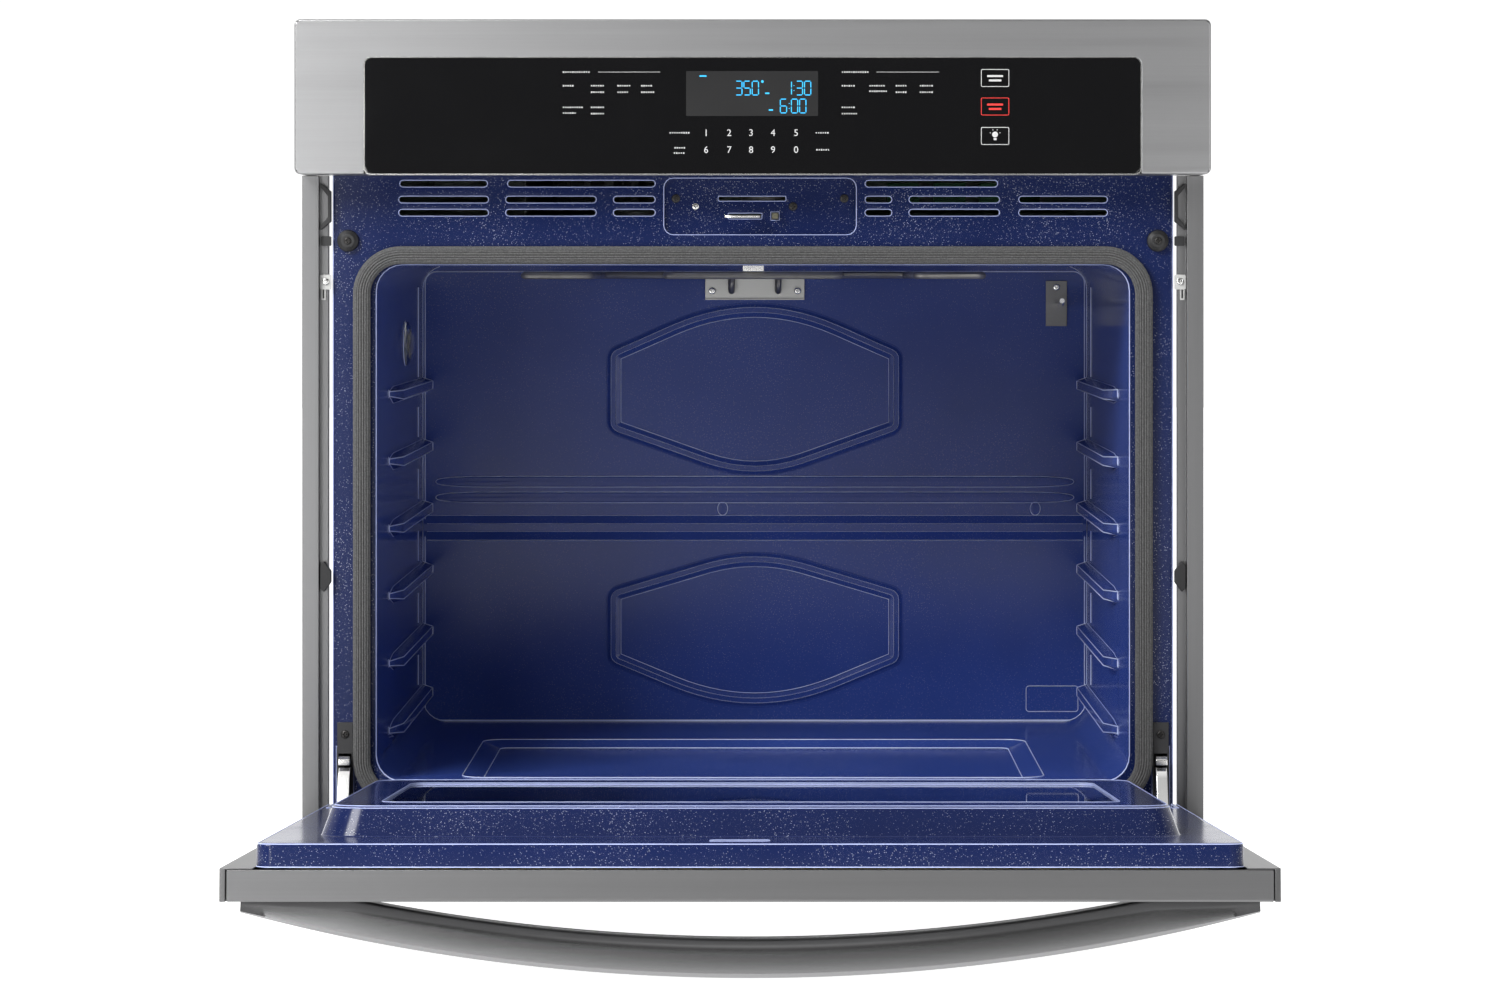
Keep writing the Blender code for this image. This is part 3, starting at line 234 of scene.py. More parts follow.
class Brush(Enum):
    """The way a sheet's brush lines run, as the stretch of its grain."""

    ALONG_X = (5.0, 620.0, 620.0)
    ALONG_Y = (620.0, 5.0, 620.0)
    ALONG_Z = (620.0, 620.0, 5.0)


@dataclass(frozen=True)
class Finish:
    """A surface with handling marks: moulded plastic, rubber, plated or coated metal."""

    name: str
    colour: Colour
    slot: str
    roughness: float = 0.45
    metallic: float = 0.0
    coat: float = 0.0
    marks: float = 0.35
    pores: float = 0.00004
    shine: float = 0.5
    scale: float = 14.0

    def dress(self, wires: Wiring, place: bpy.types.NodeSocket, shader: bpy.types.Node) -> None:
        """Joins the pattern of this finish to the shader.

        Args:
            wires: the material's wiring.
            place: Object coordinates.
            shader: the material's Principled BSDF.
        """
        marks = self.group(wires, PATINA, Vector=place, Scale=self.scale, Amount=self.marks)
        tint = wires.mix(marks.outputs["Mask"], self.shade(), self.shade(0.72))
        rough = wires.span(marks.outputs["Mask"], 0, 1, self.roughness, min(1, self.roughness + 0.22))
        self.join(wires, shader, tint, rough, marks.outputs["Height"], self.pores)

    def group(self, wires: Wiring, tree: bpy.types.NodeTree, **values: object) -> bpy.types.Node:
        """Places a node group with these values on its named inputs."""
        node = wires.add("ShaderNodeGroup", node_tree=tree)
        for name, value in values.items():
            if isinstance(value, bpy.types.NodeSocket):
                wires.tree.links.new(value, node.inputs[name])
            else:
                node.inputs[name].default_value = value
        return node

    def shade(self, share: float = 1.0) -> tuple[float, ...]:
        """The colour made lighter or darker, ready for a colour socket."""
        return (*(min(1, c * share) for c in self.colour), 1)

    def join(self, wires: Wiring, shader: bpy.types.Node, tint: bpy.types.NodeSocket,
             rough: bpy.types.NodeSocket, height: bpy.types.NodeSocket, depth: float) -> None:
        """Joins a colour, a roughness and a height to the shader.

        Args:
            wires: the material's wiring.
            shader: the Principled BSDF.
            tint: the colour.
            rough: the roughness.
            height: the height from 0 to 1.
            depth: metres between 0 and 1.
        """
        self.feed(wires, shader, "Base Color", tint)
        self.feed(wires, shader, "Roughness", rough)
        bump = wires.add("ShaderNodeBump", {"Height": height, "Strength": 1.0, "Distance": depth})
        self.feed(wires, shader, "Normal", bump.outputs["Normal"])

    def feed(self, wires: Wiring, shader: bpy.types.Node, name: str, value: bpy.types.NodeSocket) -> None:
        """Links a pattern to one of the shader's inputs."""
        wires.tree.links.new(value, shader.inputs[name])

    def material(self) -> bpy.types.Material:
        """The material of this finish, made the first time it is asked for."""
        known = bpy.data.materials.get(self.name)
        if known:
            return known
        made = bpy.data.materials.new(self.name)
        made.use_nodes = True
        made.diffuse_color = (*self.colour, 1)
        wires = Wiring(made.node_tree)
        shader = wires.add("ShaderNodeBsdfPrincipled", {"Metallic": self.metallic, "Coat Weight": self.coat,
                                                        "Coat Roughness": 0.05,
                                                        "Specular IOR Level": self.shine})
        place = wires.add("ShaderNodeTexCoord").outputs["Object"]
        self.dress(wires, place, shader)
        wires.add("ShaderNodeOutputMaterial", {"Surface": shader.outputs[0]})
        return made


@dataclass(frozen=True)
class Enamel(Finish):
    """Fired enamel: deep blue with fine pale speckles under a glossy skin."""

    speckle: Colour = (0.42, 0.45, 0.56)
    dot_scale: float = 560.0
    dot_size: float = 0.18
    dot_share: float = 0.75

    def dress(self, wires: Wiring, place: bpy.types.NodeSocket, shader: bpy.types.Node) -> None:
        """Joins speckles, clouded colour and orange peel."""
        dots = self.group(wires, SPECKLE, Vector=place, Scale=self.dot_scale, Size=self.dot_size)
        cloudy = wires.span(dots.outputs["Clouds"], 0.3, 0.7)
        body = wires.mix(cloudy, self.shade(), self.shade(1.18))
        share = wires.math("MULTIPLY", dots.outputs["Mask"], self.dot_share)
        tint = wires.mix(share, body, (*self.speckle, 1))
        dull = wires.span(cloudy, 0, 1, self.roughness, self.roughness + 0.05)
        self.join(wires, shader, tint, dull, wires.noise(place, 160.0, 1.5), self.pores)


@dataclass(frozen=True)
class Brushed(Finish):
    """Stainless steel with brush lines."""

    brush: Brush = Brush.ALONG_X
    contrast: float = 0.7

    def dress(self, wires: Wiring, place: bpy.types.NodeSocket, shader: bpy.types.Node) -> None:
        """Joins brush lines to the colour, the roughness and the normal."""
        lines = self.group(wires, GRAIN, Vector=place, Stretch=self.brush.value, Contrast=self.contrast)
        tint = wires.mix(lines.outputs["Mask"], self.shade(0.80), self.shade(1.12))
        rough = wires.span(lines.outputs["Mask"], 0, 1, self.roughness - 0.06, self.roughness + 0.08)
        self.join(wires, shader, tint, rough, lines.outputs["Height"], self.pores)


@dataclass(frozen=True)
class Spangled(Finish):
    """Zinc-coated sheet with large crystal patches."""

    def dress(self, wires: Wiring, place: bpy.types.NodeSocket, shader: bpy.types.Node) -> None:
        """Joins crystal patches to the colour and the roughness."""
        cells = wires.add("ShaderNodeTexVoronoi", {"Vector": place, "Scale": 95.0})
        tone = wires.add("ShaderNodeRGBToBW", {0: cells.outputs["Color"]}).outputs[0]
        dull = wires.span(tone, 0, 1, self.roughness - 0.1, self.roughness + 0.1)
        self.join(wires, shader, wires.mix(tone, self.shade(0.82), self.shade()), dull, tone, self.pores)


@dataclass(frozen=True)
class Woven(Finish):
    """Glass-fibre cord: fine uneven yarns, with painted shade in the gaps between them."""

    yarns: float = 900.0

    def dress(self, wires: Wiring, place: bpy.types.NodeSocket, shader: bpy.types.Node) -> None:
        """Joins the yarns to the colour, the roughness and the normal."""
        warp = wires.noise(place, self.yarns, 2.0)
        cells = wires.add("ShaderNodeTexVoronoi", {"Vector": place, "Scale": self.yarns * 0.8})
        yarn = wires.math("MULTIPLY_ADD", warp, 0.6,
                          wires.math("MULTIPLY", cells.outputs["Distance"], 0.5))
        # The colour darkens where the yarn height is low: painted shade in the gaps.
        tint = wires.mix(wires.span(yarn, 0.3, 0.75), self.shade(0.45), self.shade())
        self.join(wires, shader, tint, wires.span(yarn, 0, 1, self.roughness, 0.95), yarn, self.pores)


@dataclass(frozen=True)
class Wool(Finish):
    """Mineral wool: tangled fibres and lumps."""

    lump: float = 0.0012

    def dress(self, wires: Wiring, place: bpy.types.NodeSocket, shader: bpy.types.Node) -> None:
        """Joins fibres and lumps."""
        tangle = wires.noise(place, 260.0, 6.0, Distortion=2.5)
        tint = wires.mix(wires.span(tangle, 0.3, 0.7), self.shade(0.5), self.shade())
        self.join(wires, shader, tint, wires.span(tangle, 0, 1, 0.85, 1.0), tangle, self.lump)


@dataclass(frozen=True)
class Board(Finish):
    """Circuit board: green coat over a maze of copper tracks."""

    def dress(self, wires: Wiring, place: bpy.types.NodeSocket, shader: bpy.types.Node) -> None:
        """Joins tracks and pads."""
        tracks = wires.add("ShaderNodeTexVoronoi", {"Vector": place, "Scale": 70.0}, distance="MANHATTAN",
                           feature="F1")
        edge = wires.math("LESS_THAN", wires.math("FRACT", wires.math("MULTIPLY", tracks.outputs["Distance"],
                                                                      7.0)), 0.35)
        tint = wires.mix(edge, self.shade(), self.shade(2.1))
        self.join(wires, shader, tint, wires.span(edge, 0, 1, 0.45, 0.3), edge, self.pores)


@dataclass(frozen=True)
class Glass(Finish):
    """Clear or tinted glass with faint handling marks in its polish."""

    transmission: float = 1.0
    ior: float = 1.5

    def material(self) -> bpy.types.Material:
        """The glass, with its plain transmission set on the shader."""
        made = super().material()
        for node in made.node_tree.nodes:
            if node.type == "BSDF_PRINCIPLED":
                node.inputs["Transmission Weight"].default_value = self.transmission
                node.inputs["IOR"].default_value = self.ior
        return made


@dataclass(frozen=True)
class Lit(Finish):
    """Ink or segments that glow a little, uneven like a printed or lit mark; on printed ink the glow is
    painted light.
    """

    glow: float = 1.0

    def dress(self, wires: Wiring, place: bpy.types.NodeSocket, shader: bpy.types.Node) -> None:
        """Joins an uneven glow to the colour and the emission."""
        marks = self.group(wires, PATINA, Vector=place, Scale=120.0, Amount=self.marks)
        tint = wires.mix(marks.outputs["Mask"], self.shade(), self.shade(0.8))
        self.feed(wires, shader, "Base Color", tint)
        self.feed(wires, shader, "Emission Color", tint)
        shader.inputs["Emission Strength"].default_value = self.glow
        self.feed(wires, shader, "Roughness", wires.span(marks.outputs["Mask"], 0, 1, 0.4, 0.55))


ENAMEL = Enamel("blue_enamel_fired", (0.0065, 0.0130, 0.064), "blue_enamel", roughness=0.16,
                pores=0.000002, shine=0.22)
DEEP_ENAMEL = Enamel("blue_enamel_cavity", (0.032, 0.064, 0.275), "blue_enamel", roughness=0.16,
                     pores=0.000004, dot_share=0.3, shine=0.4)
# Pale enamel for the thin beads on edges and press lines: painted highlights.
EDGE_HIGHLIGHT_ENAMEL = Enamel("blue_enamel_edge_highlight", (0.42, 0.48, 0.78), "blue_enamel", roughness=0.22, pores=0.000003,
                     dot_share=0.0)
DEEP_EDGE_HIGHLIGHT = Enamel("blue_enamel_cavity_edge_highlight", (0.66, 0.72, 0.98), "blue_enamel", roughness=0.2,
                   pores=0.000003, dot_share=0.0)
STAINLESS = Brushed("stainless_sheet", (0.375, 0.375, 0.38), "brushed_stainless", roughness=0.34,
                    metallic=1.0, pores=0.000006)
# Darker copies of the stainless sheet, brushed other ways: their darker tone is painted shade.
STAINLESS_UP_SHADED = Brushed("stainless_upright_painted_shade", (0.22, 0.22, 0.223), "brushed_stainless", roughness=0.36,
                       metallic=1.0, pores=0.000006, brush=Brush.ALONG_Z)
STAINLESS_RAIL_SHADED = Brushed("stainless_rail_painted_shade", (0.17, 0.17, 0.172), "brushed_stainless", roughness=0.34,
                         metallic=1.0, pores=0.000006, brush=Brush.ALONG_Y)
STAINLESS_RIM_SHADED = Brushed("brushed_stainless_rim_painted_shade", (0.20, 0.20, 0.203), "brushed_stainless", roughness=0.38,
                        metallic=1.0, brush=Brush.ALONG_X)
HANDLE = Brushed("stainless_bar", (0.33, 0.33, 0.334), "handle_stainless", roughness=0.24, metallic=1.0,
                 pores=0.000004, contrast=0.4)
BRACKET = Brushed("bracket_strip", (0.42, 0.42, 0.41), "bracket_steel", roughness=0.3, metallic=1.0,
                  pores=0.000006)
CHROME = Finish("chromed", (0.80, 0.80, 0.79), "chromed_steel", roughness=0.12, metallic=1.0, marks=0.5,
                pores=0.000004)
BRIGHT = Finish("bright_plated", (0.92, 0.91, 0.88), "chromed_steel", roughness=0.2, metallic=1.0,
                marks=0.3, pores=0.000004)
SHEATH = Finish("element_sheath_toned", (0.30, 0.29, 0.27), "element_sheath", roughness=0.42, metallic=0.7,
                marks=0.8, scale=40.0, pores=0.00002)
DARK_STEEL = Finish("dark_coated_steel", (0.022, 0.022, 0.024), "dark_steel", roughness=0.42, marks=0.5)
BLACK_OXIDE = Finish("black_oxide_screw", (0.045, 0.043, 0.042), "dark_steel", roughness=0.35, metallic=0.8)
ZINC = Spangled("zinc_spangle", (0.50, 0.51, 0.52), "zinc_sheet", roughness=0.42, metallic=0.9,
                pores=0.00001)
BLACK_GLASS = Finish("black_key_glass", (0.0045, 0.0045, 0.005), "black_glass", roughness=0.07, coat=1.0,
                     marks=0.25, pores=0.000002)
DISPLAY = Finish("display_window", (0.018, 0.018, 0.0185), "display_grey", roughness=0.22, marks=0.3)
DOOR_GLASS = Glass("door_glass_clear", (0.62, 0.66, 0.64), "door_glass", roughness=0.02, marks=0.08,
                   pores=0.000001)
LAMP_GLASS = Glass("lamp_glass_clear", (0.93, 0.94, 0.92), "lamp_glass", roughness=0.05, marks=0.15,
                   pores=0.000002)
CERAMIC = Finish("lamp_ceramic_raw", (0.72, 0.70, 0.64), "lamp_ceramic", roughness=0.7)
BOARD = Board("board_coat", (0.02, 0.12, 0.045), "circuit_board", roughness=0.4)
BRAID = Woven("gasket_yarn", (0.115, 0.115, 0.116), "gasket_braid", roughness=0.7, pores=0.00035)
BRAID_DARK = Woven("gasket_core", (0.05, 0.048, 0.042), "gasket_braid", roughness=0.8, pores=0.0002)
WOOL = Wool("mineral_wool_felt", (0.55, 0.48, 0.28), "mineral_wool")
RUBBER = Finish("black_rubber_soft", (0.012, 0.012, 0.013), "black_rubber", roughness=0.5, marks=0.4,
                pores=0.00006)
PLASTIC = Finish("grey_plastic_moulded", (0.16, 0.16, 0.155), "grey_plastic", roughness=0.45)
CLIP_GREY = Finish("pale_clip", (0.50, 0.50, 0.49), "grey_plastic", roughness=0.45, marks=0.3)
OLIVE = Finish("plunger_nylon", (0.10, 0.095, 0.06), "grey_plastic", roughness=0.4)
# Printed ink that glows though it is no lamp: painted light.
INK_PAINTED_GLOW = Lit("white_ink_painted_glow", (0.50, 0.50, 0.50), "black_glass", glow=0.22, marks=0.3)
RED_INK_PAINTED_GLOW = Lit("red_ink_painted_glow", (0.62, 0.03, 0.025), "black_glass", glow=0.35, marks=0.2)
SEGMENT = Lit("lit_segments", (0.02, 0.33, 0.62), "display_grey", glow=1.0, marks=0.15)
# Flat black in place of the shade inside openings: painted shade.
HOLE_SHADE = Finish("shadow_black", (0.004, 0.004, 0.005), "dark_steel", roughness=0.9, marks=0.2)


# ------------------------------------------------------ geometry helpers

BODY_OF = {node: body for body, nodes in frame["record"]["behaviour"]["bodies"].items() for node in nodes}
GEOMETRY, OBJECT, MATERIAL, INTEGER = ("NodeSocketGeometry", "NodeSocketObject", "NodeSocketMaterial",
                                       "NodeSocketInt")


def given_finish(wires: Wiring, geometry: bpy.types.NodeSocket) -> bpy.types.NodeTree:
    """Ends a geometry tree: makes its copies real and gives them the tree's Finish."""
    real = wires.add("GeometryNodeRealizeInstances", {0: geometry}).outputs[0]
    values = {"Geometry": real, "Material": wires.start.outputs["Finish"]}
    return wires.give(Geometry=wires.add("GeometryNodeSetMaterial", values).outputs[0])


def repeat_tree() -> bpy.types.NodeTree:
    """A tree that puts one part on every point, turned by the point's own "turn"."""
    inputs = (("Geometry", GEOMETRY, None), ("Part", OBJECT, None), ("Size", FLOAT, 1.0),
              ("Spread", FLOAT, 0.0), ("Seed", INTEGER, 7), ("Finish", MATERIAL, None))
    wires = new_group("repeat_part", "GeometryNodeTree", inputs, (("Geometry", GEOMETRY),))
    start = wires.start.outputs
    part = wires.add("GeometryNodeObjectInfo", {"Object": start["Part"]}).outputs["Geometry"]
    turned = wires.add("FunctionNodeEulerToRotation", {0: wires.named("turn")}).outputs[0]
    low = wires.math("SUBTRACT", start["Size"], start["Spread"])
    high = wires.math("ADD", start["Size"], start["Spread"])
    size = wires.add("FunctionNodeRandomValue", {2: low, 3: high, "Seed": start["Seed"]}, data_type="FLOAT")
    placed = wires.add("GeometryNodeInstanceOnPoints", {"Points": start["Geometry"], "Instance": part,
                                                        "Rotation": turned, "Scale": size.outputs[1]})
    return given_finish(wires, placed.outputs[0])


def follow_tree() -> bpy.types.NodeTree:
    """A tree that runs a round strand along each line, with a wave along the line's own "lift"."""
    inputs = (("Geometry", GEOMETRY, None), ("Radius", FLOAT, 0.001), ("Sides", INTEGER, 8),
              ("Wave", FLOAT, 0.0), ("Waves", FLOAT, 1.0), ("Seed", INTEGER, 7), ("Finish", MATERIAL, None))
    wires = new_group("follow_line", "GeometryNodeTree", inputs, (("Geometry", GEOMETRY),))
    start = wires.start.outputs
    line = wires.add("GeometryNodeMeshToCurve", {"Mesh": start["Geometry"]}).outputs[0]
    lift, phase = wires.named("lift"), wires.named("phase", "FLOAT")
    along = wires.add("GeometryNodeSplineParameter").outputs["Factor"]
    angle = wires.math("MULTIPLY", wires.math("MULTIPLY_ADD", along, start["Waves"], phase), math.tau)
    jitter = wires.add("FunctionNodeRandomValue", {2: 0.75, 3: 1.25, "Seed": start["Seed"]},
                       data_type="FLOAT")
    reach = wires.math("MULTIPLY", wires.math("MULTIPLY", wires.math("SINE", angle), start["Wave"]),
                       jitter.outputs[1])
    offset = wires.add("ShaderNodeVectorMath", {0: lift, "Scale": reach}, operation="SCALE").outputs[0]
    moved = wires.add("GeometryNodeSetPosition", {"Geometry": line, "Offset": offset}).outputs[0]
    ring = wires.add("GeometryNodeCurvePrimitiveCircle", {"Resolution": start["Sides"],
                                                          "Radius": start["Radius"]}).outputs[0]
    tube = wires.add("GeometryNodeCurveToMesh", {"Curve": moved, "Profile Curve": ring, "Fill Caps": True})
    return given_finish(wires, tube.outputs[0])


def bow_tree() -> bpy.types.NodeTree:
    """A tree that lays a bar's skin on a circular bow and turns it with the open door.

    Each point's "along" runs from 0 to 1 over the width, and "section" says where it lies in the bar's
    thickness and height.
    """
    inputs = (("Geometry", GEOMETRY, None), ("Half Width", FLOAT, 0.36), ("Reach", FLOAT, 0.05),
              ("End Reach", FLOAT, 0.01), ("Thickness", FLOAT, 0.028), ("Low", FLOAT, 0.5),
              ("High", FLOAT, 0.6), ("Face", FLOAT, -0.06), ("Turn", FLOAT, 0.0), ("Pivot", VECTOR, None),
              ("Seed", INTEGER, 7), ("Finish", MATERIAL, None))
    wires = new_group("bowed_bar", "GeometryNodeTree", inputs, (("Geometry", GEOMETRY),))
    start = wires.start.outputs
    along = wires.named("along", "FLOAT")
    share = wires.add("ShaderNodeSeparateXYZ", {0: wires.named("section")}).outputs
    swing = wires.math("MULTIPLY", wires.math("MULTIPLY_ADD", along, 2.0, -1.0), math.pi / 2)
    x = wires.math("MULTIPLY", wires.math("SINE", swing), start["Half Width"])
    rise = wires.math("SUBTRACT", start["Reach"], start["End Reach"])
    width_squared = wires.math("MULTIPLY", start["Half Width"], start["Half Width"])
    radius = wires.math("DIVIDE", wires.math("MULTIPLY_ADD", rise, rise, width_squared),
                        wires.math("MULTIPLY", rise, 2.0))
    chord = wires.math("SUBTRACT", wires.math("MULTIPLY", radius, radius), wires.math("MULTIPLY", x, x))
    reach = wires.math("ADD", wires.math("SUBTRACT", start["Reach"], radius), wires.math("SQRT", chord))
    outer = wires.math("SUBTRACT", start["Face"], reach)
    inner = wires.math("MINIMUM", wires.math("ADD", outer, start["Thickness"]), start["Face"])
    y = wires.math("MULTIPLY_ADD", wires.math("SUBTRACT", outer, inner), share["X"], inner)
    tall = wires.math("SUBTRACT", start["High"], start["Low"])
    z = wires.math("MULTIPLY_ADD", tall, share["Y"], start["Low"])
    closed = wires.add("ShaderNodeCombineXYZ", {"X": x, "Y": y, "Z": z}).outputs[0]
    opened = wires.add("ShaderNodeVectorRotate", {"Vector": closed, "Center": start["Pivot"],
                                                  "Angle": start["Turn"]}, rotation_type="X_AXIS").outputs[0]
    moved = wires.add("GeometryNodeSetPosition", {"Geometry": start["Geometry"], "Position": opened})
    return given_finish(wires, moved.outputs[0])


REPEAT, FOLLOW, BOW = repeat_tree(), follow_tree(), bow_tree()


def made_object(name: str, bm: bmesh.types.BMesh) -> bpy.types.Object:
    """Turns a bmesh into an object at the origin, faces outwards.

    Args:
        name: the object's name.
        bm: the mesh; it is freed.

    Returns:
        The new object.
    """
    if bm.faces:
        bmesh.ops.recalc_face_normals(bm, faces=bm.faces)
    mesh = bpy.data.meshes.new(name)
    bm.to_mesh(mesh)
    bm.free()
    made = bpy.data.objects.new(name, mesh)
    bpy.context.scene.collection.objects.link(made)
    return made


def applied(made: bpy.types.Object) -> bpy.types.Object:
    """Turns an object's modifiers into plain mesh and removes them."""
    bpy.context.view_layer.update()
    depsgraph = bpy.context.evaluated_depsgraph_get()
    mesh = bpy.data.meshes.new_from_object(made.evaluated_get(depsgraph), preserve_all_data_layers=True,
                                           depsgraph=depsgraph)
    made.modifiers.clear()
    made.data = mesh
    return made


def grown(made: bpy.types.Object, tree: bpy.types.NodeTree, **values: object) -> bpy.types.Object:
    """Runs a geometry tree on an object with these values on its named inputs, as plain mesh."""
    modifier = made.modifiers.new("grow", "NODES")
    modifier.node_group = tree
    for item in tree.interface.items_tree:
        if item.item_type == "SOCKET" and item.in_out == "INPUT" and item.name in values:
            modifier[item.identifier] = values[item.name]
    return applied(made)


def smooth(made: bpy.types.Object, angle: float = 35.0) -> bpy.types.Object:
    """Shades an object smooth, with sharp edges above an angle in degrees."""
    made.data.polygons.foreach_set("use_smooth", [True] * len(made.data.polygons))
    made.data.set_sharp_from_angle(angle=math.radians(angle))
    return made


def evened(made: bpy.types.Object) -> bpy.types.Object:
    """Weights an object's normals by the size of its faces, and keeps its sharp edges."""
    weight = made.modifiers.new("normals", "WEIGHTED_NORMAL")
    weight.keep_sharp = True
    return applied(made)


def mark(made: bpy.types.Object, name: str, values: Sequence[float], kind: str = "FLOAT") -> None:
    """Puts numbers on an object's points, for a tree to read by name."""
    attribute = made.data.attributes.new(name, kind, "POINT")
    attribute.data.foreach_set("vector" if kind == "FLOAT_VECTOR" else "value", values)


def settled(made: bpy.types.Object, finish: Finish, body: str,
            nodes: Sequence[str] = ()) -> bpy.types.Object:
    """Gives a finished piece its finish and its body, and hides what it stands for.

    Args:
        made: the piece, with its place in its mesh.
        finish: the finish it takes.
        body: the CAD body it rides on.
        nodes: the CAD nodes it stands for.

    Returns:
        The piece.
    """
    made.data.materials.clear()
    made.data.materials.append(finish.material())
    if nodes:
        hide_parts(*nodes)
    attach(made, body)
    LOG.info("%s: %d faces, %s, on %s", made.name, len(made.data.polygons), finish.name, body)
    return made


def dressed(node: str, finish: Finish) -> bpy.types.Object:
    """Gives a CAD node that stays as it is a finish."""
    kept = frame["nodes"][node]
    kept.data.materials.clear()
    kept.data.materials.append(finish.material())
    LOG.info("%s: kept, %s", node, finish.name)
    return kept


def merged_copy(node: str) -> bmesh.types.BMesh:
    """A CAD node's mesh with its triangles joined and its flat faces made whole."""
    bm = bmesh.new()
    bm.from_mesh(frame["nodes"][node].data)
    bmesh.ops.remove_doubles(bm, verts=bm.verts, dist=0.000004)
    bmesh.ops.dissolve_limit(bm, angle_limit=math.radians(0.6), verts=bm.verts, edges=bm.edges)
    return bm


def softened(node: str, finish: Finish, radius: float = 0.0006, steps: int = 2, crease: float = 32.0,
             cutter: Optional[bpy.types.Object] = None, clamp: bool = True) -> bpy.types.Object:
    """A copy of a CAD node with rounded edges, standing for the node.

    Args:
        node: the CAD node.
        finish: the finish of the copy.
        radius: the edge radius.
        steps: faces across each rounded edge.
        crease: the angle in degrees above which an edge is rounded.
        cutter: a solid to take away first; it is removed.
        clamp: stop the rounding where edges are close together.

    Returns:
        The copy, settled on the node's body.
    """
    made = made_object(f"{node}_formed", merged_copy(node))
    if cutter:
        cut = made.modifiers.new("cut", "BOOLEAN")
        cut.operation, cut.solver, cut.object = "DIFFERENCE", "EXACT", cutter
        applied(made)
        bpy.data.objects.remove(cutter)
    # Left whole, some faces with more corners than this came out torn once edges were rounded.
    bm = bmesh.new()
    bm.from_mesh(made.data)
    bmesh.ops.triangulate(bm, faces=[f for f in bm.faces if len(f.verts) > MOST_CORNERS])
    bm.to_mesh(made.data)
    bm.free()
    if radius:
        bevel = made.modifiers.new("edges", "BEVEL")
        bevel.width, bevel.segments, bevel.use_clamp_overlap = radius, steps, clamp
        bevel.limit_method, bevel.angle_limit = "ANGLE", math.radians(crease)
        applied(made)
    smooth(made, 46.0 if radius else 30.0)
    return settled(evened(made), finish, BODY_OF[node], (node,))


def bridged(bm: bmesh.types.BMesh, rings: Sequence[Sequence[Vector]], caps: bool = True) -> None:
    """Adds a skin through rings of the same number of points.

    Args:
        bm: the mesh to add to.
        rings: the rings, in order.
        caps: close the first and the last ring.
    """
    made = [[bm.verts.new(p) for p in ring] for ring in rings]
    count = len(made[0])
    for low, high in zip(made, made[1:]):
        for i in range(count):
            j = (i + 1) % count
            bm.faces.new((low[i], low[j], high[j], high[i]))
    if caps:
        bm.faces.new(list(reversed(made[0])))
        bm.faces.new(made[-1])


def round_box(half_u: float, half_v: float, radius: float, steps: int = 5,
              middle: tuple[float, float] = (0.0, 0.0)) -> list[tuple[float, float]]:
    """A rectangle with round corners about its middle, anticlockwise."""
    points = []
    for turn, (su, sv) in enumerate(((1, 1), (-1, 1), (-1, -1), (1, -1))):
        for i in range(steps + 1):
            angle = math.pi / 2 * (turn + i / steps)
            points.append((su * (half_u - radius) + radius * math.cos(angle) + middle[0],
                           sv * (half_v - radius) + radius * math.sin(angle) + middle[1]))
    return points


def prism(bm: bmesh.types.BMesh, outline: Iterable[tuple[float, float]], axis: str,
          span: tuple[float, float], middle: tuple[float, float] = (0, 0)) -> None:
    """Adds an extruded outline.

    Args:
        bm: the mesh to add to.
        outline: points across the axis: (X, Z) for Y, (Y, Z) for X, (X, Y) for Z.
        axis: the axis it runs along.
        span: its two ends along the axis.
        middle: added to every point of the outline.
    """
    order = {"X": lambda u, v, w: (w, u, v), "Y": lambda u, v, w: (u, w, v), "Z": lambda u, v, w: (u, v, w)}
    points = [(u + middle[0], v + middle[1]) for u, v in outline]
    bridged(bm, [[Vector(order[axis](u, v, w)) for u, v in points] for w in span])


def loop_band(bm: bmesh.types.BMesh, outer: Sequence[tuple[float, float]],
              inner: Sequence[tuple[float, float]], span: tuple[float, float]) -> None:
    """Adds a flat closed band between two outlines in X and Z, thick along Y."""
    rings = [[Vector((u, y, v)) for u, v in line]
             for line, y in ((outer, span[0]), (outer, span[1]), (inner, span[1]), (inner, span[0]))]
    bridged(bm, [*rings, rings[0]], caps=False)
    bmesh.ops.remove_doubles(bm, verts=bm.verts, dist=1e-7)


def line_object(name: str, lines: Sequence[Sequence[Point]],
                lifts: Optional[Sequence[Sequence[Point]]] = None,
                closed: bool = False, phases: Optional[Sequence[float]] = None) -> bpy.types.Object:
    """An object of bare lines for the follow tree.

    Args:
        name: the object's name.
        lines: the points of each line.
        lifts: at each point, the direction of the wave.
        closed: each line is a loop.
        phases: where each line's wave starts, in turns.

    Returns:
        The object.
    """
    bm = bmesh.new()
    for line in lines:
        made = [bm.verts.new(p) for p in line]
        pairs = list(zip(made, made[1:])) + ([(made[-1], made[0])] if closed else [])
        for pair in pairs:
            bm.edges.new(pair)
    made_lines = made_object(name, bm)
    flat = [c for line in (lifts or [[(0, 0, 0)] * len(line) for line in lines]) for p in line for c in p]
    mark(made_lines, "lift", flat, "FLOAT_VECTOR")
    starts = phases or [0.0] * len(lines)
    mark(made_lines, "phase", [p for line, p in zip(lines, starts) for _ in line])
    return made_lines


def tubes(name: str, lines: Sequence[Sequence[Point]], radius: float, finish: Finish, body: str,
          sides: int = 10, closed: bool = False) -> bpy.types.Object:
    """Round rods or beads along lines, grown by the follow tree and settled."""
    made = line_object(name, lines, closed=closed)
    grown(made, FOLLOW, Radius=radius, Sides=sides, Finish=finish.material())
    return settled(smooth(made, 60), finish, body)


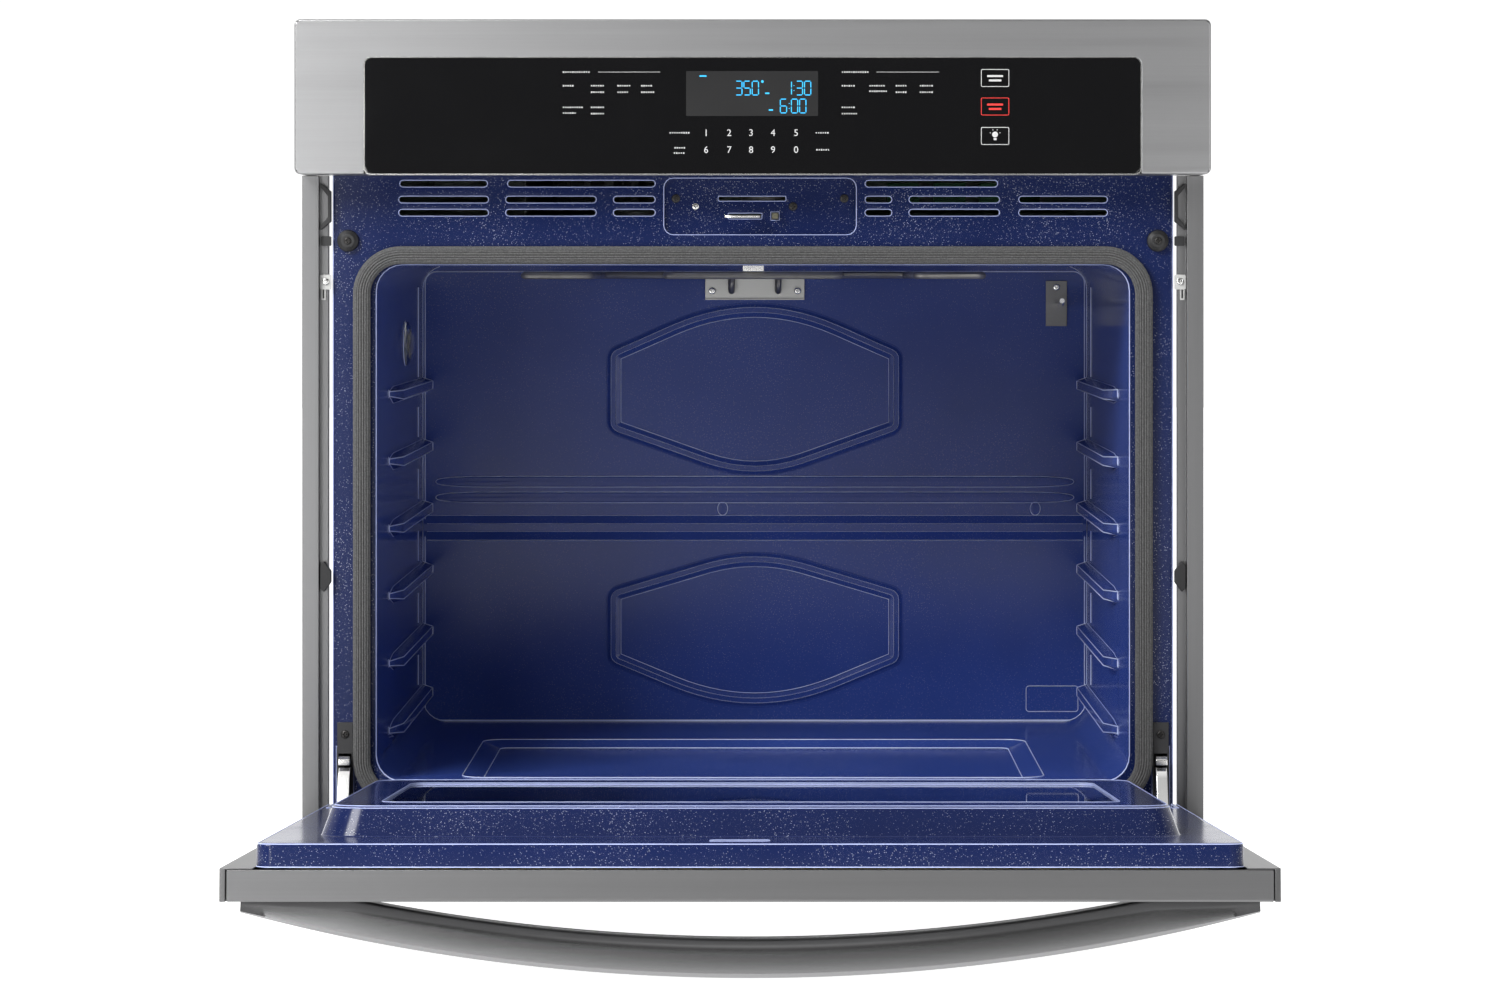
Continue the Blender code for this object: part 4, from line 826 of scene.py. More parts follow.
def beaded(node: str, name: str, radius: float, finish: Finish, keep: Callable[[Vector, Vector], bool],
           convex: bool = True, crease: float = 30.0) -> bpy.types.Object:
    """Thin pale beads on a sheet's edges as painted highlights, grown by the follow tree.

    Args:
        node: the CAD node whose edges they follow.
        name: the piece's name.
        radius: the bead's radius.
        finish: its finish.
        keep: says of an edge's two ends whether it has a bead.
        convex: leave out the inward edges.
        crease: the angle in degrees above which an edge counts.

    Returns:
        The piece, on the node's body.
    """
    source = merged_copy(node)
    limit = math.radians(crease)
    bm = bmesh.new()
    found: dict[int, bmesh.types.BMVert] = {}
    for edge in source.edges:
        if len(edge.link_faces) != 2 or edge.calc_face_angle(0.0) < limit or (convex and not edge.is_convex):
            continue
        if not keep(edge.verts[0].co, edge.verts[1].co):
            continue
        for vertex in edge.verts:
            if vertex.index not in found:
                found[vertex.index] = bm.verts.new(vertex.co)
        bm.edges.new([found[vertex.index] for vertex in edge.verts])
    source.free()
    made = made_object(name, bm)
    grown(made, FOLLOW, Radius=radius, Sides=6, Finish=finish.material())
    return settled(smooth(made, 60), finish, BODY_OF[node])


class Facing(Enum):
    """The way a screw's head or a mark looks, as the turn of a part drawn looking along -Y."""

    FRONT = (0.0, 0.0, 0.0)
    BACK = (0.0, 0.0, math.pi)
    LEFT = (0.0, 0.0, -math.pi / 2)
    RIGHT = (0.0, 0.0, math.pi / 2)


OUTWARDS = {-1: Facing.LEFT, 1: Facing.RIGHT}


def placed(name: str, part: bpy.types.Object, places: Sequence[Point], facing: Facing, finish: Finish,
           body: str, size: float = 1.0, spread: float = 0.0, turns: Optional[Sequence[float]] = None,
           seed: int = 7) -> bpy.types.Object:
    """Copies of a part on points, grown by the repeat tree and settled.

    Args:
        name: the piece's name.
        part: the part, drawn about the origin and looking along -Y.
        places: where each copy goes.
        facing: the way they look.
        finish: their finish.
        body: the body they ride on.
        size: their size against the part.
        spread: how much the size varies.
        turns: each copy's own turn about its axis.
        seed: the seed of the variation.

    Returns:
        The piece.
    """
    bm = bmesh.new()
    for place in places:
        bm.verts.new(place)
    made = made_object(name, bm)
    base = Matrix.Rotation(facing.value[2], 3, "Z") @ Matrix.Rotation(facing.value[0], 3, "X")
    flat = []
    for i in range(len(places)):
        own = Matrix.Rotation(turns[i] if turns else 0.0, 3, "Y")
        flat.extend((base @ own).to_euler())
    mark(made, "turn", flat, "FLOAT_VECTOR")
    grown(made, REPEAT, Part=part, Size=size, Spread=spread, Seed=seed, Finish=finish.material())
    return settled(smooth(made, 40), finish, body)


@dataclass
class Hardware:
    """Patterns of small repeated parts, drawn once about the origin and not shown themselves."""

    head_radius: float = 0.0036
    head_height: float = 0.0016
    cross_half: float = 0.0006
    cross_reach: float = 0.0021
    made: dict[str, bpy.types.Object] = field(default_factory=dict)

    def hide(self, name: str, bm: bmesh.types.BMesh) -> bpy.types.Object:
        """Keeps a part out of sight and out of the scene, for the repeat tree."""
        part = made_object(name, bm)
        bpy.context.scene.collection.objects.unlink(part)
        self.made[name] = part
        return part

    def screw(self) -> bpy.types.Object:
        """A pan head with a cross recess, its face at -Y."""
        if "screw" in self.made:
            return self.made["screw"]
        bm = bmesh.new()
        sides = 20
        rings = []
        for reach, height in ((1.0, 0.0), (1.0, 0.45), (0.93, 0.78), (0.78, 0.94), (0.66, 1.0)):
            rings.append([Vector((self.head_radius * reach * math.cos(math.tau * i / sides),
                                  -self.head_height * height,
                                  self.head_radius * reach * math.sin(math.tau * i / sides)))
                          for i in range(sides)])
        star, r, w = [], self.cross_reach, self.cross_half
        for i in range(sides):
            angle = math.tau * i / sides
            quarter = abs((angle + math.pi / 4) % (math.pi / 2) - math.pi / 4)
            reach = r if quarter < math.asin(min(1, w / r)) + 0.12 else w * 1.5
            star.append((reach * math.cos(angle), reach * math.sin(angle)))
        rings.append([Vector((x, -self.head_height, z)) for x, z in star])
        rings.append([Vector((x * 0.62, -self.head_height * 0.25, z * 0.62)) for x, z in star])
        bridged(bm, rings)
        return self.hide("screw", bm)

    def slot(self, length: float, height: float, name: str) -> bpy.types.Object:
        """A shallow pocket with round ends, lying just proud of a sheet, for black painted shade in place of
        an opening.
        """
        bm = bmesh.new()
        prism(bm, round_box(length / 2, height / 2, height * 0.49, 4), "Y", (-0.00012, 0.0004))
        return self.hide(name, bm)

    def bar(self, length: float, height: float, name: str) -> bpy.types.Object:
        """A thin printed bar with round ends."""
        bm = bmesh.new()
        prism(bm, round_box(length / 2, height / 2, height * 0.3, 2), "Y", (-0.00006, 0.00004))
        return self.hide(name, bm)


HARDWARE = Hardware()


# ------------------------------------------------------- sub-assemblies


@dataclass
class Chassis:
    """The sheet case, its base and what is fixed inside it."""

    side_x: float = 0.3495
    screw_step: float = 0.118
    louvre_length: float = 0.030
    louvre_height: float = 0.0042
    louvre_rows: int = 7
    rib_radius: float = 0.0016

    def build(self) -> None:
        """Dresses the case and the parts inside, and adds screws, louvres and stiffening beads."""
        for node in ("case_left", "case_right", "case_top", "case_back", "chassis_base"):
            softened(node, ZINC, 0.0004, 1)
        softened("terminal_box", ZINC, 0.0008, 2)
        softened("blower_housing", ZINC, 0.0008, 2)
        softened("cable_gland", PLASTIC, 0.0005, 2)
        for node in ("flue_duct", "latch_bracket"):
            dressed(node, ZINC)
        for node in ("latch_motor", "door_switch_body", "blower_wheel"):
            dressed(node, PLASTIC)
        for node in ("power_board", "control_board"):
            dressed(node, BOARD)
        dressed("blower_motor", DARK_STEEL)
        dressed("cavity_insulation", WOOL)
        dressed("bake_element", SHEATH)
        dressed("lamp_socket", CERAMIC)
        self.add_screws()
        self.add_louvres()
        self.add_beads()

    def add_screws(self) -> None:
        """Case screws down the sides and round the back."""
        low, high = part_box("case_left")
        for side, sign in SIDES:
            places = []
            for y in (low.y + 0.018, high.y - 0.012):
                count = int((high.z - 0.06) / self.screw_step)
                rows = [0.05 + (high.z - 0.08) * i / count for i in range(count + 1)]
                places += [(sign * self.side_x, y, z) for z in rows]
            placed(f"case_screws_{side}", HARDWARE.screw(), places, OUTWARDS[sign], CHROME, "oven")
        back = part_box("case_back")[1]
        columns = (-0.33, -0.2, -0.07, 0.07, 0.2, 0.33)
        places = [(x, back.y, z) for z in (0.02, back.z - 0.012) for x in columns]
        places += [(x, back.y, z) for x in (-0.338, 0.338) for z in (0.14, 0.26, 0.38, 0.5, 0.61)]
        placed("case_screws_back", HARDWARE.screw(), places, Facing.BACK, CHROME, "oven")

    def add_louvres(self) -> None:
        """Rows of cooling slots in the back and the sides, drawn as black pockets of painted shade."""
        part = HARDWARE.slot(self.louvre_length, self.louvre_height, "louvre")
        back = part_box("case_back")[1].y
        places = [(0.075 + 0.042 * column, back, 0.602 + 0.0125 * row)
                  for row in range(self.louvre_rows) for column in range(5)]
        placed("back_louvres", part, places, Facing.BACK, HOLE_SHADE, "oven")
        for side, sign in SIDES:
            places = [(sign * self.side_x, 0.12 + 0.042 * column, 0.618 + 0.0125 * row)
                      for row in range(5) for column in range(7)]
            placed(f"side_louvres_{side}", part, places, OUTWARDS[sign], HOLE_SHADE, "oven")

    def add_beads(self) -> None:
        """Pressed stiffening beads on the sides, the top and the back."""
        for side, sign in SIDES:
            lines = [[(sign * 0.3493, 0.08, z), (sign * 0.3493, 0.50, z)] for z in (0.16, 0.32, 0.48)]
            tubes(f"case_beads_{side}", lines, self.rib_radius, ZINC, "oven")
        lines = [[(-0.26, 0.5678, z), (0.26, 0.5678, z)] for z in (0.12, 0.30, 0.48)]
        tubes("case_beads_back", lines, self.rib_radius, ZINC, "oven")
        lines = [[(x, 0.06, 0.7218), (x, 0.50, 0.7218)] for x in (-0.22, 0.0, 0.22)]
        tubes("case_beads_top", lines, self.rib_radius, ZINC, "oven")


SEGMENTS = {"0": "abcdef", "1": "bc", "2": "abged", "3": "abgcd", "5": "afgcd", "6": "afgecd"}


@dataclass
class Fascia:
    """The control fascia, its glass, the display and the printed keys."""

    ink_y: float = -0.05925
    ink_depth: float = 0.00012
    digit_size: float = 0.0066
    digit_width: float = 0.0052
    digit_height: float = 0.0114
    stroke: float = 0.0008
    pad_x: tuple[float, ...] = (-0.0384, -0.0194, -0.0013, 0.0168, 0.0358)
    pad_z: tuple[float, float] = (0.6410, 0.6270)
    key_x: float = 0.1999
    display_x: tuple[float, float] = (-0.0549, 0.0539)
    display_z: tuple[float, float] = (0.6551, 0.6921)
    tick_step: float = 0.0019
    labels: tuple[tuple[float, float, int], ...] = (
        (-0.1560, 0.6913, 12), (-0.1560, 0.6800, 5), (-0.1328, 0.6800, 6), (-0.1328, 0.6747, 6),
        (-0.1110, 0.6800, 6), (-0.1110, 0.6747, 5), (-0.0914, 0.6800, 5), (-0.0914, 0.6747, 6),
        (-0.1560, 0.6622, 9), (-0.1560, 0.6575, 6), (-0.1328, 0.6622, 6), (-0.1328, 0.6570, 6),
        (0.0740, 0.6913, 12), (0.0740, 0.6800, 6), (0.0968, 0.6800, 7), (0.0968, 0.6755, 8),
        (0.1186, 0.6800, 5), (0.1186, 0.6747, 5), (0.1384, 0.6800, 6), (0.1384, 0.6747, 6),
        (0.0740, 0.6622, 6), (0.0740, 0.6570, 7), (-0.0680, 0.6412, 9), (-0.0640, 0.6288, 5),
        (-0.0645, 0.6245, 5), (0.0525, 0.6412, 6), (0.0530, 0.6272, 6))
    group_lines: tuple[tuple[float, float], ...] = ((-0.1275, -0.0763), (0.1020, 0.1537))

    @property
    def print_span(self) -> tuple[float, float]:
        """The depth between which printed marks lie."""
        return (self.ink_y - 0.0001, self.ink_y)

    @property
    def lit_span(self) -> tuple[float, float]:
        """The depth between which lit segments lie, in front of the window."""
        return (self.ink_y - 0.0002, self.ink_y - 0.00005)

    def build(self) -> None:
        """Builds the sheet, the glass and everything that shows through it."""
        softened("control_fascia", STAINLESS, 0.0009, 3, clamp=False)
        softened("control_glass", BLACK_GLASS, 0.0005, 2)
        dressed("display_module", DISPLAY)
        self.add_bevel()
        self.add_display()
        self.add_digits()
        self.add_keys()
        self.add_labels()

    def add_bevel(self) -> None:
        """The bright edge round the glass."""
        low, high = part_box("control_glass")
        half_u, half_v = (high.x - low.x) / 2, (high.z - low.z) / 2
        middle = ((low.x + high.x) / 2, (low.z + high.z) / 2)
        bm = bmesh.new()
        out, inwards = 0.0009, 0.0002
        outer = round_box(half_u + out, half_v + out, 0.0062, middle=middle)
        inner = round_box(half_u - inwards, half_v - inwards, 0.005, middle=middle)
        loop_band(bm, outer, inner, (self.ink_y - 0.0005, -0.0585))
        settled(made_object("glass_edge_strip", bm), BRIGHT, "oven")

    def add_display(self) -> None:
        """The window and its lit segments."""
        bm = bmesh.new()
        half_u = (self.display_x[1] - self.display_x[0]) / 2
        half_v = (self.display_z[1] - self.display_z[0]) / 2
        middle = (sum(self.display_x) / 2, sum(self.display_z) / 2)
        window = round_box(half_u, half_v, 0.0006, 2)
        prism(bm, window, "Y", (self.ink_y, self.ink_y + self.ink_depth), middle)
        settled(made_object("display_window", bm), DISPLAY, "oven")
        bm = bmesh.new()
        self.number(bm, "350", -0.0140, 0.6724)
        self.number(bm, "1:30", 0.0268, 0.6724)
        self.number(bm, "6:00", 0.0228, 0.6576)
        ring = round_box(0.0011, 0.0011, 0.0010, 3)
        prism(bm, ring, "Y", self.lit_span, (0.0080, 0.6835))
        for x, z, half in ((-0.0410, 0.6880, 0.0030), (0.0120, 0.6738, 0.0018), (0.0150, 0.6600, 0.0018)):
            prism(bm, round_box(half, 0.0006, 0.0004, 2), "Y", self.lit_span, (x, z))
        settled(made_object("display_segments", bm), SEGMENT, "oven")

    def number(self, bm: bmesh.types.BMesh, text: str, left: float, bottom: float) -> None:
        """Adds a row of seven-segment digits.

        Args:
            bm: the mesh to add to.
            text: digits and colons.
            left: where the row starts.
            bottom: the foot of the digits.
        """
        w, h, t = self.digit_width, self.digit_height, self.stroke
        bars = {"a": (w / 2, h, True), "b": (w, h * 0.75, False), "c": (w, h * 0.25, False),
                "d": (w / 2, 0, True), "e": (0, h * 0.25, False), "f": (0, h * 0.75, False),
                "g": (w / 2, h / 2, True)}
        x = left
        for sign in text:
            if sign == ":":
                for z in (h * 0.32, h * 0.68):
                    self.stroke_bar(bm, x + t * 0.6, bottom + z, t * 0.5, t * 0.5)
                x += t * 2.9
                continue
            for name in SEGMENTS[sign]:
                u, v, flat = bars[name]
                half_u, half_v = ((w - t) / 2, t / 2) if flat else (t / 2, (h / 2 - t) / 2)
                self.stroke_bar(bm, x + u, bottom + v, half_u, half_v)
            x += w + t * 2.0

    def stroke_bar(self, bm: bmesh.types.BMesh, x: float, z: float, half_u: float, half_v: float) -> None:
        """Adds one lit bar with cut corners."""
        cut = min(half_u, half_v) * 0.8
        outline = round_box(half_u, half_v, cut, 1)
        prism(bm, outline, "Y", self.lit_span, (x, z))

    def add_digits(self) -> None:
        """The number pad in two rows."""
        pad = [(str((5 * row + i + 1) % 10), x, z) for row, z in enumerate(self.pad_z)
               for i, x in enumerate(self.pad_x)]
        bm = bmesh.new()
        for text, x, z in pad:
            curve = bpy.data.curves.new("digit", "FONT")
            curve.body, curve.size, curve.extrude = text, self.digit_size * 1.2, self.ink_depth / 2
            curve.align_x, curve.align_y, curve.resolution_u = "CENTER", "CENTER", 3
            drawn = bpy.data.objects.new("digit", curve)
            bpy.context.scene.collection.objects.link(drawn)
            bpy.context.view_layer.update()
            mesh = bpy.data.meshes.new_from_object(
                drawn.evaluated_get(bpy.context.evaluated_depsgraph_get()))
            mesh.transform(Matrix.Translation((x, self.ink_y, z)) @ Matrix.Rotation(math.pi / 2, 4, "X"))
            bm.from_mesh(mesh)
            bpy.data.objects.remove(drawn)
        bmesh.ops.remove_doubles(bm, verts=bm.verts, dist=1e-6)
        settled(made_object("key_digits", bm), INK_PAINTED_GLOW, "oven")

    def add_keys(self) -> None:
        """Three boxed keys: a light one, a red one and a lamp."""
        rows = ((0.6864, INK_PAINTED_GLOW, "key_box_start"), (0.6629, RED_INK_PAINTED_GLOW, "key_box_stop"),
                (0.6386, INK_PAINTED_GLOW, "key_box_lamp"))
        span = self.print_span
        # The key boxes are printed in glowing ink: painted light.
        for z, ink_painted_glow, name in rows:
            bm = bmesh.new()
            outer = round_box(0.0116, 0.0073, 0.0012, 3, (self.key_x, z))
            inner = round_box(0.0111, 0.0068, 0.0008, 3, (self.key_x, z))
            loop_band(bm, outer, inner, span)
            if name == "key_box_lamp":
                prism(bm, round_box(0.0024, 0.0024, 0.0023, 4), "Y", span, (self.key_x, z + 0.0012))
                prism(bm, round_box(0.0012, 0.0009, 0.0003, 2), "Y", span, (self.key_x, z - 0.0026))
                for angle in (20, 65, 115, 160):
                    reach = Vector((math.cos(math.radians(angle)), math.sin(math.radians(angle)))) * 0.0042
                    prism(bm, round_box(0.0004, 0.0004, 0.0003, 2), "Y", span,
                          (self.key_x + reach.x, z + 0.0012 + reach.y))
            else:
                for row, half in ((0.0016, 0.0066), (-0.0020, 0.0052)):
                    prism(bm, round_box(half, 0.0008, 0.0004, 2), "Y", span, (self.key_x, z + row))
            settled(made_object(name, bm), ink_painted_glow, "oven")

    def add_labels(self) -> None:
        """Plain marks in place of the key words."""
        tick = HARDWARE.bar(0.0011, 0.0013, "label_tick")
        places = []
        for left, height, count in self.labels:
            places += [(left + self.tick_step * i, self.ink_y, height) for i in range(count)]
        placed("key_marks", tick, places, Facing.FRONT, INK_PAINTED_GLOW, "oven", spread=0.15)
        bm = bmesh.new()
        for low, high in self.group_lines:
            line = round_box((high - low) / 2, 0.00016, 0.0001, 1)
            prism(bm, line, "Y", self.print_span, ((low + high) / 2, 0.6913))
        settled(made_object("key_group_lines", bm), INK_PAINTED_GLOW, "oven")


@dataclass
class FrontFrame:
    """The enamelled front frame with its latch, its bumpers and their screws."""

    recess_y: float = -0.0030
    bumper: Point = (0.3383, -0.0142, 0.5525)

    def build(self) -> None:
        """Builds the frame, the latch and the bumpers."""
        softened("front_frame", ENAMEL, 0.0007, 2, clamp=False)
        # Pale beads on the recess edges: painted highlights.
        beaded("front_frame", "front_frame_edges", 0.0004, EDGE_HIGHLIGHT_ENAMEL,
               lambda a, b: max(a.y, b.y) < self.recess_y + 0.0003)
        softened("latch_hook", BRIGHT, 0.0003, 2)
        dressed("door_switch_plunger", OLIVE)
        for side, _ in SIDES:
            softened(f"door_bumper_{side}", RUBBER, 0.0008, 2)
        places = [(-0.0645, self.recess_y, 0.5879), (0.0764, self.recess_y, 0.5879),
                  (0.0335, self.recess_y, 0.5812)]
        placed("recess_screws", HARDWARE.screw(), places, Facing.FRONT, BLACK_OXIDE, "oven",
               turns=[0.3, 0.8, 0.1])
        placed("latch_plate_screw", HARDWARE.screw(), [(-0.0480, self.recess_y, 0.5812)], Facing.FRONT,
               CHROME, "oven", size=0.8)
        places = [(sign * self.bumper[0], *self.bumper[1:]) for _, sign in SIDES]
        placed("bumper_screws", HARDWARE.screw(), places, Facing.FRONT, BLACK_OXIDE, "oven", size=0.85)


@dataclass
class Trims:
    """The stainless trims down the sides and under the door, with their clips."""

    strip_y: float = -0.0105

    def build(self) -> None:
        """Builds the trims, the clips, the plugs and the small brackets."""
        for side, sign in SIDES:
            softened(f"side_trim_{side}", STAINLESS_UP_SHADED, 0.0005, 2, clamp=False)
            softened(f"trim_clip_upper_{side}", RUBBER, 0.0005, 2)
            softened(f"trim_plug_lower_{side}", RUBBER, 0.0006, 2)
            self.add_bracket(side, sign)
        softened("bottom_trim", STAINLESS, 0.0004, 2)
        places = [(sign * 0.3566, self.strip_y - 0.0022, 0.5185) for _, sign in SIDES]
        placed("trim_bracket_screws", HARDWARE.screw(), places, Facing.FRONT, CHROME, "oven", size=0.85)

    def add_bracket(self, side: str, sign: int) -> None:
        """The pale bracket with a keyhole slit, and the black stop above it."""
        bm = bmesh.new()
        prism(bm, round_box(0.0046, 0.0062, 0.0012, 3), "Y", (self.strip_y - 0.0022, self.strip_y),
              (sign * 0.3568, 0.5180))
        prism(bm, round_box(0.0019, 0.0060, 0.0008, 3), "Y", (self.strip_y - 0.0014, self.strip_y),
              (sign * 0.3585, 0.5090))
        settled(smooth(made_object(f"trim_bracket_{side}", bm)), CLIP_GREY, "oven")
        bm = bmesh.new()
        prism(bm, round_box(0.0007, 0.0042, 0.0006, 3), "Y", (self.strip_y - 0.0016, self.strip_y - 0.0012),
              (sign * 0.3585, 0.5085))
        prism(bm, round_box(0.0042, 0.0040, 0.0010, 3), "Y", (self.strip_y - 0.0028, self.strip_y),
              (sign * 0.3562, 0.5522))
        settled(smooth(made_object(f"trim_stop_{side}", bm)), RUBBER, "oven")


def offset_rings(outline: Sequence[tuple[float, float]], corner: float = 20.0,
                 fan: int = 5) -> list[tuple[Vector, Vector]]:
    """Points of a closed anticlockwise outline with the directions they move out in.

    Args:
        outline: the points.
        corner: above this turn, in degrees, a point spreads into a fan.
        fan: points in a fan.

    Returns:
        (point, outward direction) pairs; a fan repeats its point.
    """
    pairs = []
    count = len(outline)
    for i, point in enumerate(outline):
        here = Vector(point)
        before = (here - Vector(outline[i - 1])).normalized()
        after = (Vector(outline[(i + 1) % count]) - here).normalized()
        first, last = Vector((before.y, -before.x)), Vector((after.y, -after.x))
        if first.angle(last) > math.radians(corner):
            for k in range(fan):
                pairs.append((here, first.slerp(last, k / (fan - 1))))
        else:
            middle = (first + last).normalized()
            pairs.append((here, middle / max(0.7, middle.dot(first))))
    return pairs


@dataclass
class BackPanel:
    """The cavity's back panel with its pressed ovals, rails and dimples."""

    bead: float = 0.0005
    step: float = 0.0047
    lift: float = 0.0016
    plane: float = 0.5108
    line_radius: float = 0.00042
    oval_half: float = 0.127
    bar_half: float = 0.3010
    bar_z: tuple[float, float] = (0.3275, 0.3126)
    rail_half: float = 0.3145
    rail_z: float = 0.2955
    dimple_x: tuple[float, float] = (-0.0305, 0.2660)
    dimple_z: float = 0.3020
    patch: tuple[float, float] = (0.2820, 0.1215)
    # Pale press-edge lines, drawn as painted highlights.
    lines: list[list[Point]] = field(default_factory=list)

    def crease(self, reach: float, height: float) -> list[tuple[float, float]]:
        """A small rounded bead on a press line, as (reach, height) steps going inwards."""
        b = self.bead
        return [(reach + b, height), (reach + b * 0.5, height + b * 0.9),
                (reach - b * 0.5, height + b * 0.9), (reach - b, height)]

    def press(self, bm: bmesh.types.BMesh, outline: Sequence[tuple[float, float]],
              profile: Sequence[tuple[float, float]],
              lines: Sequence[tuple[float, float]] = ()) -> None:
        """Adds one pressing: rings round an outline, from the outermost in, and a flat field.

        Args:
            bm: the mesh to add to.
            outline: the innermost outline, in X and Z, anticlockwise.
            profile: (reach, height) of each ring.
            lines: (reach, height) of each pale edge line, a painted highlight.
        """
        pairs, plane = offset_rings(outline), self.plane
        rings = []
        for reach, height in [(profile[0][0], -0.0004), *profile]:
            rings.append([Vector((p.x + n.x * reach, plane - height, p.y + n.y * reach)) for p, n in pairs])
        bridged(bm, rings)
        for reach, height in lines:
            run = [(p.x + n.x * reach, plane - height - 0.0001, p.y + n.y * reach) for p, n in pairs]
            run = [q for q, before in zip(run, run[-1:] + run[:-1]) if math.dist(q, before) > 1e-5]
            self.lines.append(run)

    def crown(self, half: float, low: float, high: float, shoulders: tuple[float, float],
              blends: tuple[float, float]) -> list[tuple[float, float]]:
        """The six-sided oval: straight sides, sloping shoulders and round crowns.

        Args:
            half: half the width.
            low: the lowest point.
            high: the highest point.
            shoulders: Z of the lower and the upper corner.
            blends: half widths of the lower and the upper round crown.

        Returns:
            The outline, anticlockwise.
        """
        points = []
        ends = ((low, shoulders[0], blends[0], 1), (high, shoulders[1], blends[1], -1))
        for z_end, z_corner, blend, turn in ends:
            slope = (z_corner - z_end) / (half - blend / 2)
            for i in range(25):
                x = turn * (-half + 2 * half * i / 24)
                if abs(x) > blend:
                    z = z_corner - slope * (half - abs(x))
                else:
                    z = z_end + slope * x * x / (2 * blend)
                points.append((x, z))
        return points

    def build(self) -> None:
        """Builds the panel as one enamelled sheet, and pale lines on its press edges that are painted
        highlights.
        """
        low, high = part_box("cavity_back_panel")
        plane = self.plane
        bm = bmesh.new()
        middle = ((low.x + high.x) / 2, (low.z + high.z) / 2)
        sheet = round_box((high.x - low.x) / 2, (high.z - low.z) / 2, 0.023, 8)
        prism(bm, sheet, "Y", (plane, high.y), middle)
        s, h = self.step, self.lift
        rings = [(3 * s, 0.0), *self.crease(3 * s - 0.001, 0.0001), *self.crease(2 * s, h),
                 *self.crease(s, h), *self.crease(self.bead, h * 0.35), (0.0, h * 0.35)]
        for z_low, z_high, shoulders, blends in (
                (0.3470, 0.4835, (0.3840, 0.4440), (0.045, 0.075)),
                (0.1270, 0.2470, (0.1640, 0.2160), (0.075, 0.045))):
            self.press(bm, self.crown(self.oval_half, z_low, z_high, shoulders, blends), rings,
                       ((0.0, h * 0.35), (s, h), (2 * s, h)))
        rings = [(0.0022, 0.0), *self.crease(0.0016, 0.0004), (0.0006, 0.0012), (0.0, 0.0013)]
        for z in self.bar_z:
            self.press(bm, self.finger(self.bar_half, z, 0.0035), rings, ((0.0016, 0.0006),))
        self.add_rail(bm)
        self.add_dimples(bm)
        made = smooth(made_object("cavity_back_formed", bm), 40)
        settled(evened(made), DEEP_ENAMEL, "oven", ("cavity_back_panel",))
        tubes("cavity_back_edges", self.lines, self.line_radius, DEEP_EDGE_HIGHLIGHT, "oven", sides=6, closed=True)
        rail = [[(-0.3110, plane - height - 0.0001, z), (0.3110, plane - height - 0.0001, z)]
                for z, height in ((self.rail_z, 0.0), (0.2877, h), (0.2803, h), (0.2720, 0.0))]
        tubes("cavity_rail_edges", rail, self.line_radius, DEEP_EDGE_HIGHLIGHT, "oven", sides=6)

    def finger(self, half: float, z: float, rise: float, nose: float = 0.045) -> list[tuple[float, float]]:
        """A long bar with drawn-out pointed ends, anticlockwise."""
        points = []
        reaches = [math.sin(math.pi / 2 * i / 8) for i in range(9)]
        for turn in (1, -1):
            for end, run in ((-turn, reaches), (turn, reaches[::-1])):
                for reach in run:
                    inset = nose * (1 - math.sqrt(max(0, 1 - reach ** 2)))
                    points.append((end * (half - inset), z - turn * rise * reach))
        unique = []
        for point in points:
            if not unique or math.dist(point, unique[-1]) > 1e-5:
                unique.append(point)
        return unique[:-1] if math.dist(unique[0], unique[-1]) < 1e-5 else unique

    def add_rail(self, bm: bmesh.types.BMesh) -> None:
        """The stepped rail across the full width."""
        z0, plane, steps = self.rail_z, self.plane, (0.0, 0.0078, 0.0152, 0.0235)
        heights = (0.0, self.lift, self.lift, 0.0)
        b = self.bead
        outline = [(plane + 0.0004, z0 + b)]
        for reach, height in zip(steps, heights):
            outline += [(plane - height, z0 - reach + b), (plane - height - b * 0.9, z0 - reach + b * 0.5),
                        (plane - height - b * 0.9, z0 - reach - b * 0.5), (plane - height, z0 - reach - b)]
        outline.append((plane + 0.0004, z0 - steps[-1] - b))
        prism(bm, outline, "X", (-self.rail_half, self.rail_half))

    def add_dimples(self, bm: bmesh.types.BMesh) -> None:
        """Two small round dimples and a framed patch near the lower corner."""
        turns = [math.tau * i / 20 for i in range(20)]
        for x in self.dimple_x:
            outline = [(x + 0.0030 * math.cos(t), self.dimple_z + 0.0045 * math.sin(t)) for t in turns]
            self.press(bm, outline, [(0.0028, 0.0), *self.crease(0.0018, 0.0002), (0.0, 0.0006)],
                       ((0.0018, 0.0003),))
        outline = round_box(0.0240, 0.0115, 0.002, 3, self.patch)
        self.press(bm, outline, [(0.0012, 0.0), *self.crease(0.0006, 0.0001), (0.0, 0.0002)],
                   ((0.0006, 0.0002),))


